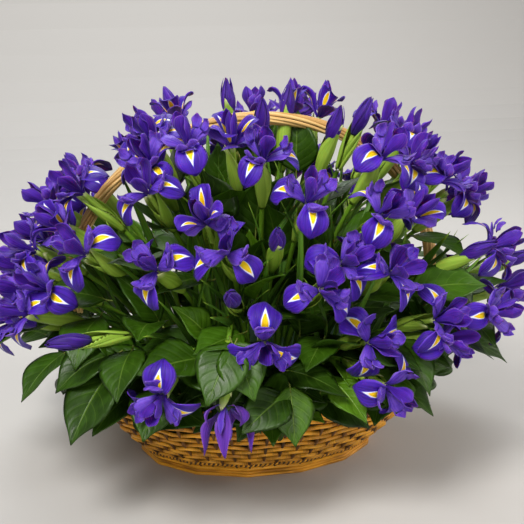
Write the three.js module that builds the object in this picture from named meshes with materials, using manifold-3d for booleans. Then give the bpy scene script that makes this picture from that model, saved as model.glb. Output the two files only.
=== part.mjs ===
// Irises in a willow basket: cut Dutch irises and salal sprigs standing in floral foam.
// Millimetres, +Z up. The front faces -Y and the handle spans X. The origin is the middle of the underside.
import * as THREE from "three";
import { mergeVertices } from "three/addons/utils/BufferGeometryUtils.js";
import Module from "manifold-3d";

const wasm = await Module();
wasm.setup();

// Clearance between pieces that touch
const GAP = 0.3;

// The basket is an oval at every height: its half width is its half length less widthInset.
const BASKET = {
  sides: 40,
  widthInset: 48,
  footHalfLength: 170,
  footHeight: 14,
  footThickness: 15,
  footRound: 4,
  floorThickness: 8,
  rimHalfLength: 256,
  rimHeight: 20,
  rimThickness: 20,
  rimRound: 6,
  weaveHeight: 96,
  weaveThickness: 8,
  weaveOverhang: 2,
  weaveInsideRim: 8,
  weaveBulge: 8,
  weaveBands: 4,
};

const HANDLE = {
  radius: 9,
  sides: 8,
  steps: 40,
  topAboveRim: 343.4,
  shoulderAboveRim: 119.4,
  shoulderHalfSpan: 256,
  footHeight: 56,
  legFlare: 0.62,
  clearance: 3,
  wallClearance: 1.5,
  archSteps: 10,
};

const LINER = { thickness: 1.2, slack: 0.9, legClearance: 7 };

// The foam stands above the rim with a bevelled edge.
const FOAM = { riseAboveRim: 18, bevelHeight: 36, bevelWidth: 44, middleLength: 150 };

// Iris heads lie on a rounded dome round a point on the middle line.
const DOME = { halfLength: 350, halfWidth: 290, height: 435, squareness: 2.4, centreBelowRim: 60.6 };

// A stem goes into the foam at footShare of its head's distance from the middle line.
const STEM = { radius: 3.4, sides: 5, steps: 4, footShare: 0.42, depthInFoam: 40, bend: 0.5, fanDepth: 8 };

// Distances along an iris's own axis are measured from the heart of its flower.
const HEAD = { spatheLength: 72, stemOverlap: 12, sides: 6 };

// Radius and distance along the axis of each stage's body, from the foot of the spathe to the tip.
const BODY = {
  open: [[3.8, -72], [7.5, -46], [8, -26], [5, -10], [5.5, 2], [12, 18], [13, 34], [0, 52]],
  half: [[3.8, -72], [7.5, -46], [8, -26], [5.5, -8], [9, 12], [12, 30], [0, 54]],
  bud: [[3.8, -72], [7.5, -46], [7.5, -20], [7, -4], [9.5, 16], [8, 32], [0, 50]],
  spent: [[3.8, -72], [7.5, -46], [8, -26], [5, -10], [6, 4], [8, 20], [0, 40]],
};

// The middle line of a fall, as distance from the axis and distance along it, and its widest half width
const FALL = {
  open: { line: [[2, -2], [18, 10], [33, 9], [45, -7]], halfWidth: 15 },
  half: { line: [[2, 0], [13, 16], [21, 30], [33, 38]], halfWidth: 10 },
  spent: { line: [[2, 0], [16, 12], [23, 34], [24, 62]], halfWidth: 8 },
};
const FALLS = { perFlower: 3, thickness: 3, steps: 3, haftShare: 0.25, widestPower: 1.6 };

// Each iris: stage, bearing (0 is the front, 90 is +X), lean from upright and turn of its first fall.
// Where needed, it also has reach as a share of the dome and the bearing and lean in which it faces.
const IRISES = [
  ["open", -37, 46, 0],
  ["open", -20, 41, 60],
  ["open", -57, 47, 20],
  ["open", -40, 24, 40],
  ["open", -46, 34, 100],
  ["open", -63, 23, 10, { reach: 0.96 }],
  ["open", -82, 37, 30, { reach: 0.95 }],
  ["open", -80, 51, 60],
  ["open", -71, 61, 10],
  ["open", -9, 24, 90],
  ["open", 5, 32, 0],
  ["open", 5, 47, 40],
  ["bud", -8, 13, 0, { reach: 0.95 }],
  ["open", 40, 28, 20],
  ["open", 27, 37, 70],
  ["open", 81, 28, 30, { reach: 0.97 }],
  ["open", 67, 37, 0, { reach: 0.97 }],
  ["open", 67, 53, 60],
  ["bud", 50, 50, 0],
  ["open", 52, 62, 20],
  ["open", 35, 58, 80],
  ["open", 25, 47, 10],
  ["open", -10, 56, 60, { face: [-12, 98] }],
  ["open", -33, 68, 60, { face: [-26, 104] }],
  ["spent", -19, 69, 60, { face: [-16, 150] }],
  ["open", 20, 68, 30, { face: [26, 98] }],
  ["bud", -51, 61, 0, { face: [-74, 86] }],
  ["bud", 84, 62, 0, { reach: 1.06 }],
  ["open", -101, 36, 0, { reach: 0.92 }],
  ["open", -97, 50, 40, { reach: 0.94 }],
  ["open", -84, 66, 10],
  ["half", 117, 16, 0, { reach: 0.93 }],
  ["open", 101, 27, 50, { reach: 0.96 }],
  ["half", -125, 17, 0, { reach: 0.93 }],
  ["open", 98, 47, 30],
  ["open", 150, 28, 0],
  ["open", -152, 30, 60],
  ["open", 180, 45, 20],
  ["open", -134, 50, 0],
  ["open", 137, 52, 40],
  ["bud", -165, 62, 0],
  ["open", 162, 64, 70],
  ["open", -122, 64, 30],
];

const SALAL = {
  leafLength: 84,
  leafHalfWidth: 29,
  leafThickness: 2.4,
  leafTaper: 0.75,
  leafFullness: 0.8,
  leafSteps: 4,
  leafArch: 3,
  leafDroop: 14,
  leafOverlap: 8,
  sideLeafAt: 0.62,
  sideLeafAngle: 58,
  sideLeafRise: 22,
  stemRadius: 2,
  footShare: 0.48,
  footRoom: 1.5,
  depthInFoam: 30,
};

// Each salal sprig: bearing, lean and reach of the middle of its end leaf, and the lean in which it points.
// Its foot lies footRoom stem radii outside footShare of its distance from the middle line.
const SPRIGS = [
  [-50, 73, 0.9, 128],
  [-8, 71, 0.9, 118],
  [33, 72, 0.88, 104],
  [65, 72, 0.9, 100],
  [112, 72, 0.9, 104],
  [152, 72, 0.88, 112],
  [-152, 72, 0.88, 116],
  [-112, 72, 0.9, 108],
];

const FINISH = {
  base: { color: 0x9a6a3a, roughness: 0.7 },
  foot: { color: 0x8f5f30, roughness: 0.65 },
  weave: { color: 0xb5803f, roughness: 0.6 },
  rim: { color: 0xb98a52, roughness: 0.6 },
  handle: { color: 0xd3a566, roughness: 0.5 },
  liner: { color: 0x2d3a24, roughness: 0.3 },
  foam: { color: 0x2f5a34, roughness: 0.95 },
  iris: { color: 0x4320b8, roughness: 0.6 },
  salal: { color: 0x2f5a1c, roughness: 0.45 },
};

const arrangement = new THREE.Group();

function addPart(name, geometry, finish) {
  const mesh = new THREE.Mesh(geometry, new THREE.MeshStandardMaterial({ ...finish, metalness: 0 }));
  mesh.name = name;
  arrangement.add(mesh);
}

// ---- Solids ---------------------------------------------------------------

function solidFrom(geometry) {
  const bare = geometry.clone();
  bare.deleteAttribute("normal");
  bare.deleteAttribute("uv");
  const merged = mergeVertices(bare, 1e-3);
  return new wasm.Manifold(
    new wasm.Mesh({
      numProp: 3,
      vertProperties: new Float32Array(merged.attributes.position.array),
      triVerts: new Uint32Array(merged.index.array),
    }),
  );
}

function geometryFrom(solid) {
  const mesh = solid.getMesh();
  const geometry = new THREE.BufferGeometry();
  geometry.setAttribute("position", new THREE.BufferAttribute(new Float32Array(mesh.vertProperties), 3));
  geometry.setIndex(new THREE.BufferAttribute(new Uint32Array(mesh.triVerts), 1));
  geometry.computeVertexNormals();
  return geometry;
}

// A turned body about +Z from pairs of radius and height
function turned(profile, sides) {
  const points = profile.map(([radius, height]) => new THREE.Vector2(radius, height));
  return new THREE.LatheGeometry(points, sides).rotateX(Math.PI / 2);
}

// Makes a turned geometry oval: every vertex off the middle line moves in along Y by the width inset.
function toOval(geometry) {
  const position = geometry.attributes.position;
  for (let i = 0; i < position.count; i++) {
    const radius = Math.hypot(position.getX(i), position.getY(i));
    const share = radius > BASKET.widthInset ? 1 - BASKET.widthInset / radius : 0;
    position.setY(i, position.getY(i) * share);
  }
  return geometry;
}

function closedProfile(points) {
  return [...points, points[0]];
}

function polygon(radius, sides) {
  const corners = [];
  for (let i = 0; i < sides; i++) {
    const angle = (2 * Math.PI * i) / sides;
    corners.push(new THREE.Vector2(radius * Math.cos(angle), radius * Math.sin(angle)));
  }
  return new THREE.Shape(corners);
}

function tube(path, radius, sides, steps) {
  return new THREE.ExtrudeGeometry(polygon(radius, sides), {
    extrudePath: path,
    steps,
    bevelEnabled: false,
  });
}

// A thin pointed blade: a four-sided turned spindle, flattened and laid along a curve in its YZ plane.
function blade(line, halfWidthAt, thickness, steps) {
  const curve = new THREE.SplineCurve(line.map(([y, z]) => new THREE.Vector2(y, z)));
  const profile = [];
  for (let i = 0; i <= steps; i++) {
    const share = i / steps;
    const isEnd = i === 0 || i === steps;
    profile.push([isEnd ? 0 : halfWidthAt(share), share]);
  }
  const geometry = turned(profile, 4);
  const position = geometry.attributes.position;
  for (let i = 0; i < position.count; i++) {
    const share = THREE.MathUtils.clamp(position.getZ(i), 0, 1);
    const at = curve.getPointAt(share);
    const along = curve.getTangentAt(share);
    const lift = Math.sign(Math.round(position.getY(i) * 1e3)) * (thickness / 2);
    position.setXYZ(i, position.getX(i), at.x + lift * along.y, at.y - lift * along.x);
  }
  return geometry;
}

// ---- Directions -----------------------------------------------------------

// The unit vector at a bearing from the front and a lean from upright
function direction(bearing, lean) {
  const b = THREE.MathUtils.degToRad(bearing);
  const l = THREE.MathUtils.degToRad(lean);
  return new THREE.Vector3(Math.sin(l) * Math.sin(b), -Math.sin(l) * Math.cos(b), Math.cos(l));
}

function onDome(bearing, lean, reach) {
  const ray = direction(bearing, lean);
  const size =
    Math.abs(ray.x / DOME.halfLength) ** DOME.squareness +
    Math.abs(ray.y / DOME.halfWidth) ** DOME.squareness +
    Math.abs(ray.z / DOME.height) ** DOME.squareness;
  const point = ray.multiplyScalar(reach / size ** (1 / DOME.squareness));
  point.z += rimTop - DOME.centreBelowRim;
  return point;
}

// The frame of something that grows along an axis: X is the way it leans, and Z is the axis.
function growingFrame(origin, bearing, lean, turn) {
  const axis = direction(bearing, lean);
  const outward = direction(bearing, lean + 90);
  const side = axis.clone().cross(outward);
  return new THREE.Matrix4()
    .makeBasis(outward, side, axis)
    .setPosition(origin)
    .multiply(new THREE.Matrix4().makeRotationZ(THREE.MathUtils.degToRad(turn)));
}

// A stem path that leaves the foam nearly upright and ends along the given axis
function stemPath(foot, end, axis) {
  const control = end.clone().addScaledVector(axis, -STEM.bend * foot.distanceTo(end));
  return new THREE.QuadraticBezierCurve3(foot, control, end);
}

// The same path, begun a clearance earlier, for the hole that the stem stands in
function holePath(path) {
  const start = path.v0.clone().addScaledVector(path.getTangent(0), -GAP);
  return new THREE.QuadraticBezierCurve3(start, path.v1, path.v2);
}

// ---- Basket ---------------------------------------------------------------

const weaveBottom = BASKET.footHeight + GAP;
const weaveTop = weaveBottom + BASKET.weaveHeight;
const weaveFootHalfLength = BASKET.footHalfLength + BASKET.weaveOverhang;
const weaveTopHalfLength = BASKET.rimHalfLength - BASKET.weaveInsideRim;

// How much further a distance square to the leaning wall is when it is measured level
const wallLean = Math.hypot(1, (weaveTopHalfLength - weaveFootHalfLength) / BASKET.weaveHeight);
const rimTop = weaveTop + GAP + BASKET.rimHeight;

// Half length of the outside of the side weave at a height
function weaveHalfLength(height) {
  const share = THREE.MathUtils.clamp((height - weaveBottom) / BASKET.weaveHeight, 0, 1);
  const straight = THREE.MathUtils.lerp(weaveFootHalfLength, weaveTopHalfLength, share);
  return straight + BASKET.weaveBulge * Math.sin(Math.PI * share);
}

function basketBase() {
  const radius = BASKET.footHalfLength - BASKET.footThickness - GAP;
  const profile = [[0, 0], [radius, 0], [radius, BASKET.floorThickness], [0, BASKET.floorThickness]];
  return toOval(turned(profile, BASKET.sides));
}

function footBorder() {
  const outer = BASKET.footHalfLength;
  const inner = outer - BASKET.footThickness;
  const round = BASKET.footRound;
  const top = BASKET.footHeight;
  return toOval(
    turned(
      closedProfile([
        [inner, 0],
        [outer - round, 0],
        [outer, round],
        [outer, top - round],
        [outer - round, top],
        [inner, top],
      ]),
      BASKET.sides,
    ),
  );
}

function sideWeave() {
  const outside = [];
  const inside = [];
  for (let i = 0; i <= BASKET.weaveBands; i++) {
    const height = weaveBottom + (BASKET.weaveHeight * i) / BASKET.weaveBands;
    outside.push([weaveHalfLength(height), height]);
    inside.unshift([weaveHalfLength(height) - BASKET.weaveThickness, height]);
  }
  return toOval(turned(closedProfile([...outside, ...inside]), BASKET.sides));
}

function rimBorder() {
  const outer = BASKET.rimHalfLength;
  const inner = outer - BASKET.rimThickness;
  const round = BASKET.rimRound;
  const bottom = weaveTop + GAP;
  return toOval(
    turned(
      closedProfile([
        [inner + round, bottom],
        [outer - round, bottom],
        [outer, bottom + round],
        [outer, rimTop - round],
        [outer - round, rimTop],
        [inner + round, rimTop],
        [inner, rimTop - round],
        [inner, bottom + round],
      ]),
      BASKET.sides,
    ),
  );
}

// Half of the handle's middle line from its foot to its shoulder, then an arch, then the same mirrored
function handlePath() {
  const wallRoom = (HANDLE.radius + HANDLE.wallClearance) * wallLean;
  const insideWeave = (height) => [weaveHalfLength(height) - BASKET.weaveThickness - wallRoom, height];
  const legInsideRim = BASKET.rimHalfLength - BASKET.rimThickness - HANDLE.radius - HANDLE.clearance;
  const leg = [
    insideWeave(HANDLE.footHeight),
    insideWeave((HANDLE.footHeight + weaveTop) / 2),
    [legInsideRim, rimTop - BASKET.rimHeight / 2],
    [
      THREE.MathUtils.lerp(legInsideRim, HANDLE.shoulderHalfSpan, HANDLE.legFlare),
      rimTop + HANDLE.shoulderAboveRim / 2,
    ],
  ];
  const arch = [];
  for (let i = 0; i <= HANDLE.archSteps; i++) {
    const angle = (Math.PI * i) / HANDLE.archSteps;
    arch.push([
      HANDLE.shoulderHalfSpan * Math.cos(angle),
      rimTop + THREE.MathUtils.lerp(HANDLE.shoulderAboveRim, HANDLE.topAboveRim, Math.sin(angle)),
    ]);
  }
  const mirrored = leg.map(([x, z]) => [-x, z]).reverse();
  const points = [...leg, ...arch, ...mirrored].map(([x, z]) => new THREE.Vector3(x, 0, z));
  return new THREE.CatmullRomCurve3(points, false, "centripetal");
}

// ---- What the basket holds ------------------------------------------------

const linerBottom = BASKET.floorThickness + GAP;
const foamBottom = linerBottom + LINER.thickness + GAP;
const foamTop = rimTop + FOAM.riseAboveRim;
const legRoom = (2 * HANDLE.radius + LINER.legClearance) * wallLean;

// Half length of the outside of the foam at a height: the handle's legs stand between it and the weave.
function foamHalfLength(height) {
  const open = weaveHalfLength(height) - BASKET.weaveThickness - legRoom;
  const bevel = Math.max(0, height - (foamTop - FOAM.bevelHeight)) / FOAM.bevelHeight;
  const rimRoom = BASKET.rimHalfLength - BASKET.rimThickness - legRoom;
  return Math.min(open, rimRoom) - FOAM.bevelWidth * bevel;
}

// The heights at which the side of the foam and of its liner turn, from the bottom to the liner's edge
const sideHeights = [0, 1, 2, 3].map((step) => THREE.MathUtils.lerp(foamBottom, weaveTop, step / 3));

function liner() {
  const inside = sideHeights.map((height) => [foamHalfLength(height) + LINER.slack, height]);
  const outside = inside.map(([radius, height]) => [radius + LINER.thickness, height]);
  inside[0][1] = foamBottom - GAP;
  outside[0][1] = linerBottom;
  const profile = [[0, linerBottom], ...outside, ...inside.reverse(), [0, foamBottom - GAP]];
  return toOval(turned(profile, BASKET.sides));
}

function foamBody() {
  const bevelFoot = foamTop - FOAM.bevelHeight;
  const side = [...sideHeights, bevelFoot, foamTop].map((height) => [foamHalfLength(height), height]);
  return solidFrom(toOval(turned([[0, foamBottom], ...side, [0, foamTop]], BASKET.sides)));
}

function slab(fromX, toX) {
  const span = 2 * BASKET.rimHalfLength;
  const box = new THREE.BoxGeometry(toX - fromX, span, span).translate((fromX + toX) / 2, 0, 0);
  return solidFrom(box);
}

// ---- Flowers --------------------------------------------------------------

function headSolid(stage) {
  let head = solidFrom(turned([[0, -HEAD.spatheLength], ...BODY[stage]], HEAD.sides));
  const fall = FALL[stage];
  if (!fall) return head;
  const widthAt = (share) => {
    const swell = Math.sin(Math.PI * share ** FALLS.widestPower);
    return fall.halfWidth * THREE.MathUtils.lerp(FALLS.haftShare, 1, swell);
  };
  for (let i = 0; i < FALLS.perFlower; i++) {
    const petal = blade(fall.line, widthAt, FALLS.thickness, FALLS.steps);
    petal.rotateZ(-Math.PI / 2 + (2 * Math.PI * i) / FALLS.perFlower);
    head = head.add(solidFrom(petal));
  }
  return head;
}

const heads = Object.fromEntries(Object.keys(BODY).map((stage) => [stage, headSolid(stage)]));

// Flowers point away from a place on the middle line, in the top of the foam.
const fanCentre = new THREE.Vector3(0, 0, foamTop - STEM.fanDepth);

function iris([stage, bearing, lean, turn, { reach = 1, face = null } = {}]) {
  const heart = onDome(bearing, lean, reach);
  const ray = heart.clone().sub(fanCentre);
  const rayLean = THREE.MathUtils.radToDeg(ray.angleTo(new THREE.Vector3(0, 0, 1)));
  const rayBearing = THREE.MathUtils.radToDeg(Math.atan2(ray.x, -ray.y));
  const [faceBearing, faceLean] = face ?? [rayBearing, rayLean];
  const axis = direction(faceBearing, faceLean);
  const end = heart.clone().addScaledVector(axis, HEAD.stemOverlap - HEAD.spatheLength);
  const foot = new THREE.Vector3(
    heart.x * STEM.footShare,
    heart.y * STEM.footShare,
    foamTop - STEM.depthInFoam,
  );
  const path = stemPath(foot, end, axis);
  const stem = solidFrom(tube(path, STEM.radius, STEM.sides, STEM.steps));
  const frame = growingFrame(heart, faceBearing, faceLean, turn);
  const head = heads[stage].transform(frame.elements);
  const hole = solidFrom(tube(holePath(path), STEM.radius + GAP, STEM.sides, STEM.steps));
  return { solid: stem.add(head), hole };
}

// ---- Salal ----------------------------------------------------------------

function salalLeaf() {
  const line = [
    [0, 0],
    [SALAL.leafArch, SALAL.leafLength / 3],
    [0, (SALAL.leafLength * 2) / 3],
    [-SALAL.leafDroop, SALAL.leafLength],
  ];
  const widthAt = (share) => {
    const swell = Math.sin(Math.PI * share ** SALAL.leafTaper);
    return SALAL.leafHalfWidth * swell ** SALAL.leafFullness;
  };
  return solidFrom(blade(line, widthAt, SALAL.leafThickness, SALAL.leafSteps));
}

const leafSolid = salalLeaf();

function sprig([bearing, lean, reach, pointLean]) {
  const middle = onDome(bearing, lean, reach);
  const axis = direction(bearing, pointLean);
  const end = middle.clone().addScaledVector(axis, -SALAL.leafLength / 2);
  const foot = direction(bearing, 90)
    .multiplyScalar(SALAL.footRoom * STEM.radius)
    .addScaledVector(middle, SALAL.footShare)
    .setZ(foamTop - SALAL.depthInFoam);
  const path = stemPath(foot, end.clone().addScaledVector(axis, SALAL.leafOverlap), axis);
  let solid = solidFrom(tube(path, SALAL.stemRadius, STEM.sides, STEM.steps));
  const endFrame = growingFrame(end, bearing, pointLean, 90);
  solid = solid.add(leafSolid.transform(endFrame.elements));
  const joint = path.getPoint(SALAL.sideLeafAt);
  for (const side of [-1, 1]) {
    const leafBearing = bearing + side * SALAL.sideLeafAngle;
    const frame = growingFrame(joint, leafBearing, pointLean - SALAL.sideLeafRise, 90);
    solid = solid.add(leafSolid.transform(frame.elements));
  }
  const hole = solidFrom(tube(holePath(path), SALAL.stemRadius + GAP, STEM.sides, STEM.steps));
  return { solid, hole };
}

// ---- The arrangement ------------------------------------------------------

addPart("basket_base", basketBase(), FINISH.base);
addPart("foot_border", footBorder(), FINISH.foot);
addPart("side_weave", sideWeave(), FINISH.weave);
addPart("rim_border", rimBorder(), FINISH.rim);
addPart("handle", tube(handlePath(), HANDLE.radius, HANDLE.sides, HANDLE.steps), FINISH.handle);
addPart("film_liner", liner(), FINISH.liner);

const holes = [];
const numbers = {};
for (const row of IRISES) {
  const stage = row[0];
  const { solid, hole } = iris(row);
  numbers[stage] = (numbers[stage] ?? 0) + 1;
  holes.push(hole);
  addPart(`iris_${stage}_${String(numbers[stage]).padStart(2, "0")}`, geometryFrom(solid), FINISH.iris);
}

SPRIGS.forEach((row, index) => {
  const { solid, hole } = sprig(row);
  holes.push(hole);
  addPart(`salal_sprig_${index + 1}`, geometryFrom(solid), FINISH.salal);
});

const cutFoam = holes.reduce((foam, hole) => foam.subtract(hole), foamBody());
const split = FOAM.middleLength / 2;
const reachX = BASKET.rimHalfLength;
const foamPieces = {
  foam_left: [-reachX, -split - GAP],
  foam_middle: [-split, split],
  foam_right: [split + GAP, reachX],
};
for (const [name, [fromX, toX]] of Object.entries(foamPieces)) {
  addPart(name, geometryFrom(cutFoam.intersect(slab(fromX, toX))), FINISH.foam);
}

export default arrangement;
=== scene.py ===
"""Irises in a willow basket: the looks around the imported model, in metres, +Z up, front facing -Y."""
import logging
import math
from dataclasses import dataclass, field
from enum import Enum

import bpy
import numpy as np
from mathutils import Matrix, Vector


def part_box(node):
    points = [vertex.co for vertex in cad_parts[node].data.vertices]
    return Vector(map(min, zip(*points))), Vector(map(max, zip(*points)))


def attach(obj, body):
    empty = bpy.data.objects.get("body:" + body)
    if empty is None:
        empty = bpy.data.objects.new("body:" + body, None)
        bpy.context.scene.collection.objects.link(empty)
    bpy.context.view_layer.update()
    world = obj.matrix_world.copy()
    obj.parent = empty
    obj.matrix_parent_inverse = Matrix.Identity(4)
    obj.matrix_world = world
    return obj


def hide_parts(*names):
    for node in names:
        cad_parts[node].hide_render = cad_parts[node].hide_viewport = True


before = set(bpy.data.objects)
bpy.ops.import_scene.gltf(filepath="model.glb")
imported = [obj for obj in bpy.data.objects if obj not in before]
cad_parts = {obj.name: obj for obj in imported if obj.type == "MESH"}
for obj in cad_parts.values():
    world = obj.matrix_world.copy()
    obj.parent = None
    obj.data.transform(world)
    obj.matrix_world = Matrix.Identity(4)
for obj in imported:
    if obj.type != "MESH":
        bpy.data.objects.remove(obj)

MM = 0.001
UP = np.array([0.0, 0.0, 1.0])
PATTERN = "Pattern"
# A path that starts more upright than this has its section laid out from +X instead of from +Z
STEEP = 0.9
# Degrees from one place to the next that spread places evenly round a middle
GOLDEN_TURN = 137.508
LOG = logging.getLogger("irises")


# ---- Curves and directions ---------------------------------------------------


def unit(vector: np.ndarray) -> np.ndarray:
    """The vector, or each row of vectors, at length one."""
    return vector / np.linalg.norm(vector, axis=-1, keepdims=True)


def direction(bearing: float, lean: float) -> np.ndarray:
    """A unit vector that leans from upright towards a bearing.

    Args:
        bearing: Degrees from the front, with 90 towards +X.
        lean: Degrees from upright.

    Returns:
        The unit vector.
    """
    b, l = math.radians(bearing), math.radians(lean)
    return np.array([math.sin(l) * math.sin(b), -math.sin(l) * math.cos(b), math.cos(l)])


def smooth_line(points: object, count: int) -> np.ndarray:
    """A smooth curve through points that are evenly spaced along it.

    Args:
        points: Control values, one row or one number each.
        count: How many values to return.

    Returns:
        The values along the curve, as many columns as the points have.
    """
    p = np.asarray(points, float)
    flat = p.ndim == 1
    if flat:
        p = p[:, None]
    p = np.vstack([2 * p[0] - p[1], p, 2 * p[-1] - p[-2]])
    t = np.linspace(0, len(p) - 3, count)
    i = np.minimum(t.astype(int), len(p) - 4)
    f = (t - i)[:, None]
    a, b, c, d = p[i], p[i + 1], p[i + 2], p[i + 3]
    line = 0.5 * (2 * b + (c - a) * f + (2 * a - 5 * b + 4 * c - d) * f**2 + (3 * b - 3 * c + d - a) * f**3)
    return line[:, 0] if flat else line


def bezier(foot: np.ndarray, control: np.ndarray, end: np.ndarray, count: int) -> np.ndarray:
    """Points along a curve that leaves foot towards control and reaches end from it."""
    t = np.linspace(0, 1, count)[:, None]
    return (1 - t) ** 2 * foot + 2 * (1 - t) * t * control + t**2 * end


def square_to(vector: np.ndarray, axis: np.ndarray) -> np.ndarray:
    """The unit vector closest to vector that is square to axis."""
    return unit(vector - axis * np.sum(vector * axis, axis=-1, keepdims=True))


def turned_about(vectors: np.ndarray, axes: np.ndarray, angles: np.ndarray) -> np.ndarray:
    """Each vector turned about its own axis.

    Args:
        vectors: The vectors, one a row.
        axes: A unit axis for each.
        angles: An angle for each, in radians.

    Returns:
        The turned vectors.
    """
    c, s = np.cos(angles)[:, None], np.sin(angles)[:, None]
    kept = axes * np.sum(vectors * axes, axis=1, keepdims=True)
    return vectors * c + np.cross(axes, vectors) * s + kept * (1 - c)


# ---- Shapes ------------------------------------------------------------------


@dataclass
class Shape:
    """Points and faces of one closed shell, with where each lies in its own pattern.

    Attributes:
        points: Places in metres.
        faces: Corner numbers of each face.
        cells: For each face, which of the shape's map cells it lies in.
        places: For each face, the place of each corner in its cell.
        pattern: For each point, distance along, across, and the tone of the whole shape.
        cell_count: How many map cells it fills.
    """

    points: np.ndarray
    faces: list
    cells: list
    places: list
    pattern: np.ndarray
    cell_count: int = 1


def grid_faces(index: np.ndarray, flip: bool) -> list:
    """Faces between neighbouring points of a grid.

    Args:
        index: The number of the point at each place of the grid.
        flip: Turns every face over.

    Returns:
        Four corner numbers for each face.
    """
    a, b = index[:-1, :-1].ravel(), index[1:, :-1].ravel()
    c, d = index[1:, 1:].ravel(), index[:-1, 1:].ravel()
    quads = np.stack([d, c, b, a] if flip else [a, b, c, d], axis=1)
    return quads.tolist()


def grid_places(rows: int, columns: int, flip: bool) -> list:
    """The place of every corner of every face of a grid, from 0 to 1 both ways.

    Args:
        rows: Points along.
        columns: Points across.
        flip: Lists the corners of every face the other way round.

    Returns:
        Four places for each face.
    """
    u, v = np.meshgrid(np.linspace(0, 1, rows), np.linspace(0, 1, columns), indexing="ij")
    near, far = slice(None, -1), slice(1, None)
    corners = [(near, near), (far, near), (far, far), (near, far)]
    if flip:
        corners.reverse()
    return np.stack([np.stack([u[at].ravel(), v[at].ravel()], 1) for at in corners], axis=1).tolist()


def shell(grid: np.ndarray, thickness: float, tone: float, along: float = 1.0) -> Shape:
    """A thin closed shell with a front and a back that meet at the edge.

    Args:
        grid: Places of the front, rows along and columns across.
        thickness: Thickness in the middle, in metres.
        tone: A number from 0 to 1 that sets the shell's own shade.
        along: Pattern length of the shell.

    Returns:
        The shell.
    """
    rows, columns = grid.shape[:2]
    normals = unit(np.cross(np.gradient(grid, axis=0), np.gradient(grid, axis=1)) + 1e-12)
    inner = np.zeros((rows, columns), bool)
    inner[1:-1, 1:-1] = True
    index = np.arange(rows * columns).reshape(rows, columns)
    back = index.copy()
    back[inner] = rows * columns + np.arange(inner.sum())
    points = np.vstack([grid.reshape(-1, 3), (grid - normals * thickness)[inner]])
    s, c = np.meshgrid(np.linspace(0, along, rows), np.linspace(-1, 1, columns), indexing="ij")
    pattern = np.stack([s, c, np.full_like(s, tone)], axis=2)
    faces = grid_faces(index, False) + grid_faces(back, True)
    count = (rows - 1) * (columns - 1)
    places = grid_places(rows, columns, False) + grid_places(rows, columns, True)
    pattern = np.vstack([pattern.reshape(-1, 3), pattern[inner]])
    return Shape(points, faces, [0] * count + [1] * count, places, pattern, 2)


def ribbon(line: np.ndarray, side: np.ndarray, half_width: np.ndarray, lift: np.ndarray,
           columns: int) -> np.ndarray:
    """A grid that runs along a line.

    Args:
        line: Places along the middle.
        side: The unit vector across at each place.
        half_width: Half width at each place.
        lift: How far the surface rises from flat, rows along and columns across, in metres.
        columns: Points across.

    Returns:
        The grid of places.
    """
    tangent = unit(np.gradient(line, axis=0))
    side = square_to(side, tangent)
    normal = np.cross(tangent, side)
    across = np.linspace(-1, 1, columns)
    flat = line[:, None] + side[:, None] * (half_width[:, None] * across)[..., None]
    return flat + normal[:, None] * lift[..., None]


def tube(path: np.ndarray, radius: object, sides: int, tone: object, reference: float = 0.04) -> Shape:
    """A closed round rod along a path.

    Args:
        path: Places along the middle.
        radius: One radius, or one for each place.
        sides: Sides of its section.
        tone: A number from 0 to 1 that sets the rod's own tone, or one for each place; below 0 it paints
            shade on the rod.
        reference: The length that counts as one in its pattern.

    Returns:
        The rod.
    """
    count = len(path)
    radius = np.broadcast_to(np.asarray(radius, float), (count,))
    tangent = unit(np.gradient(path, axis=0))
    normal = np.empty_like(path)
    start = UP if abs(tangent[0][2]) < STEEP else np.array([1.0, 0, 0])
    normal[0] = square_to(start, tangent[0])
    for i in range(1, count):
        normal[i] = square_to(normal[i - 1], tangent[i])
    other = np.cross(tangent, normal)
    angle = np.linspace(0, 2 * math.pi, sides, endpoint=False)
    ring = normal[:, None] * np.cos(angle)[:, None] + other[:, None] * np.sin(angle)[:, None]
    wall = path[:, None] + ring * radius[:, None, None]
    points = np.vstack([wall.reshape(-1, 3), path[:1], path[-1:]])
    index = np.arange(count * sides).reshape(count, sides)
    closed = np.hstack([index, index[:, :1]])
    faces = grid_faces(closed, True)
    places = grid_places(count, sides + 1, True)
    first, last = count * sides, count * sides + 1
    turn = np.arange(sides + 1) / sides
    for k in range(sides):
        n = (k + 1) % sides
        faces.append([int(first), int(index[0, k]), int(index[0, n])])
        places.append([[0, turn[k]], [0, turn[k]], [0, turn[k + 1]]])
        faces.append([int(last), int(index[-1, n]), int(index[-1, k])])
        places.append([[1, turn[k]], [1, turn[k + 1]], [1, turn[k]]])
    length = np.concatenate([[0], np.cumsum(np.linalg.norm(np.diff(path, axis=0), axis=1))]) / reference
    s = np.repeat(length, sides)
    c = np.tile(np.sin(angle), count)
    tones = np.broadcast_to(np.asarray(tone, float), (count,))
    pattern = np.stack([s, c, np.repeat(tones, sides)], axis=1)
    pattern = np.vstack([pattern, [0, 0, tones[0]], [length[-1], 0, tones[-1]]])
    return Shape(points, faces, [0] * len(faces), places, pattern)


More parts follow.
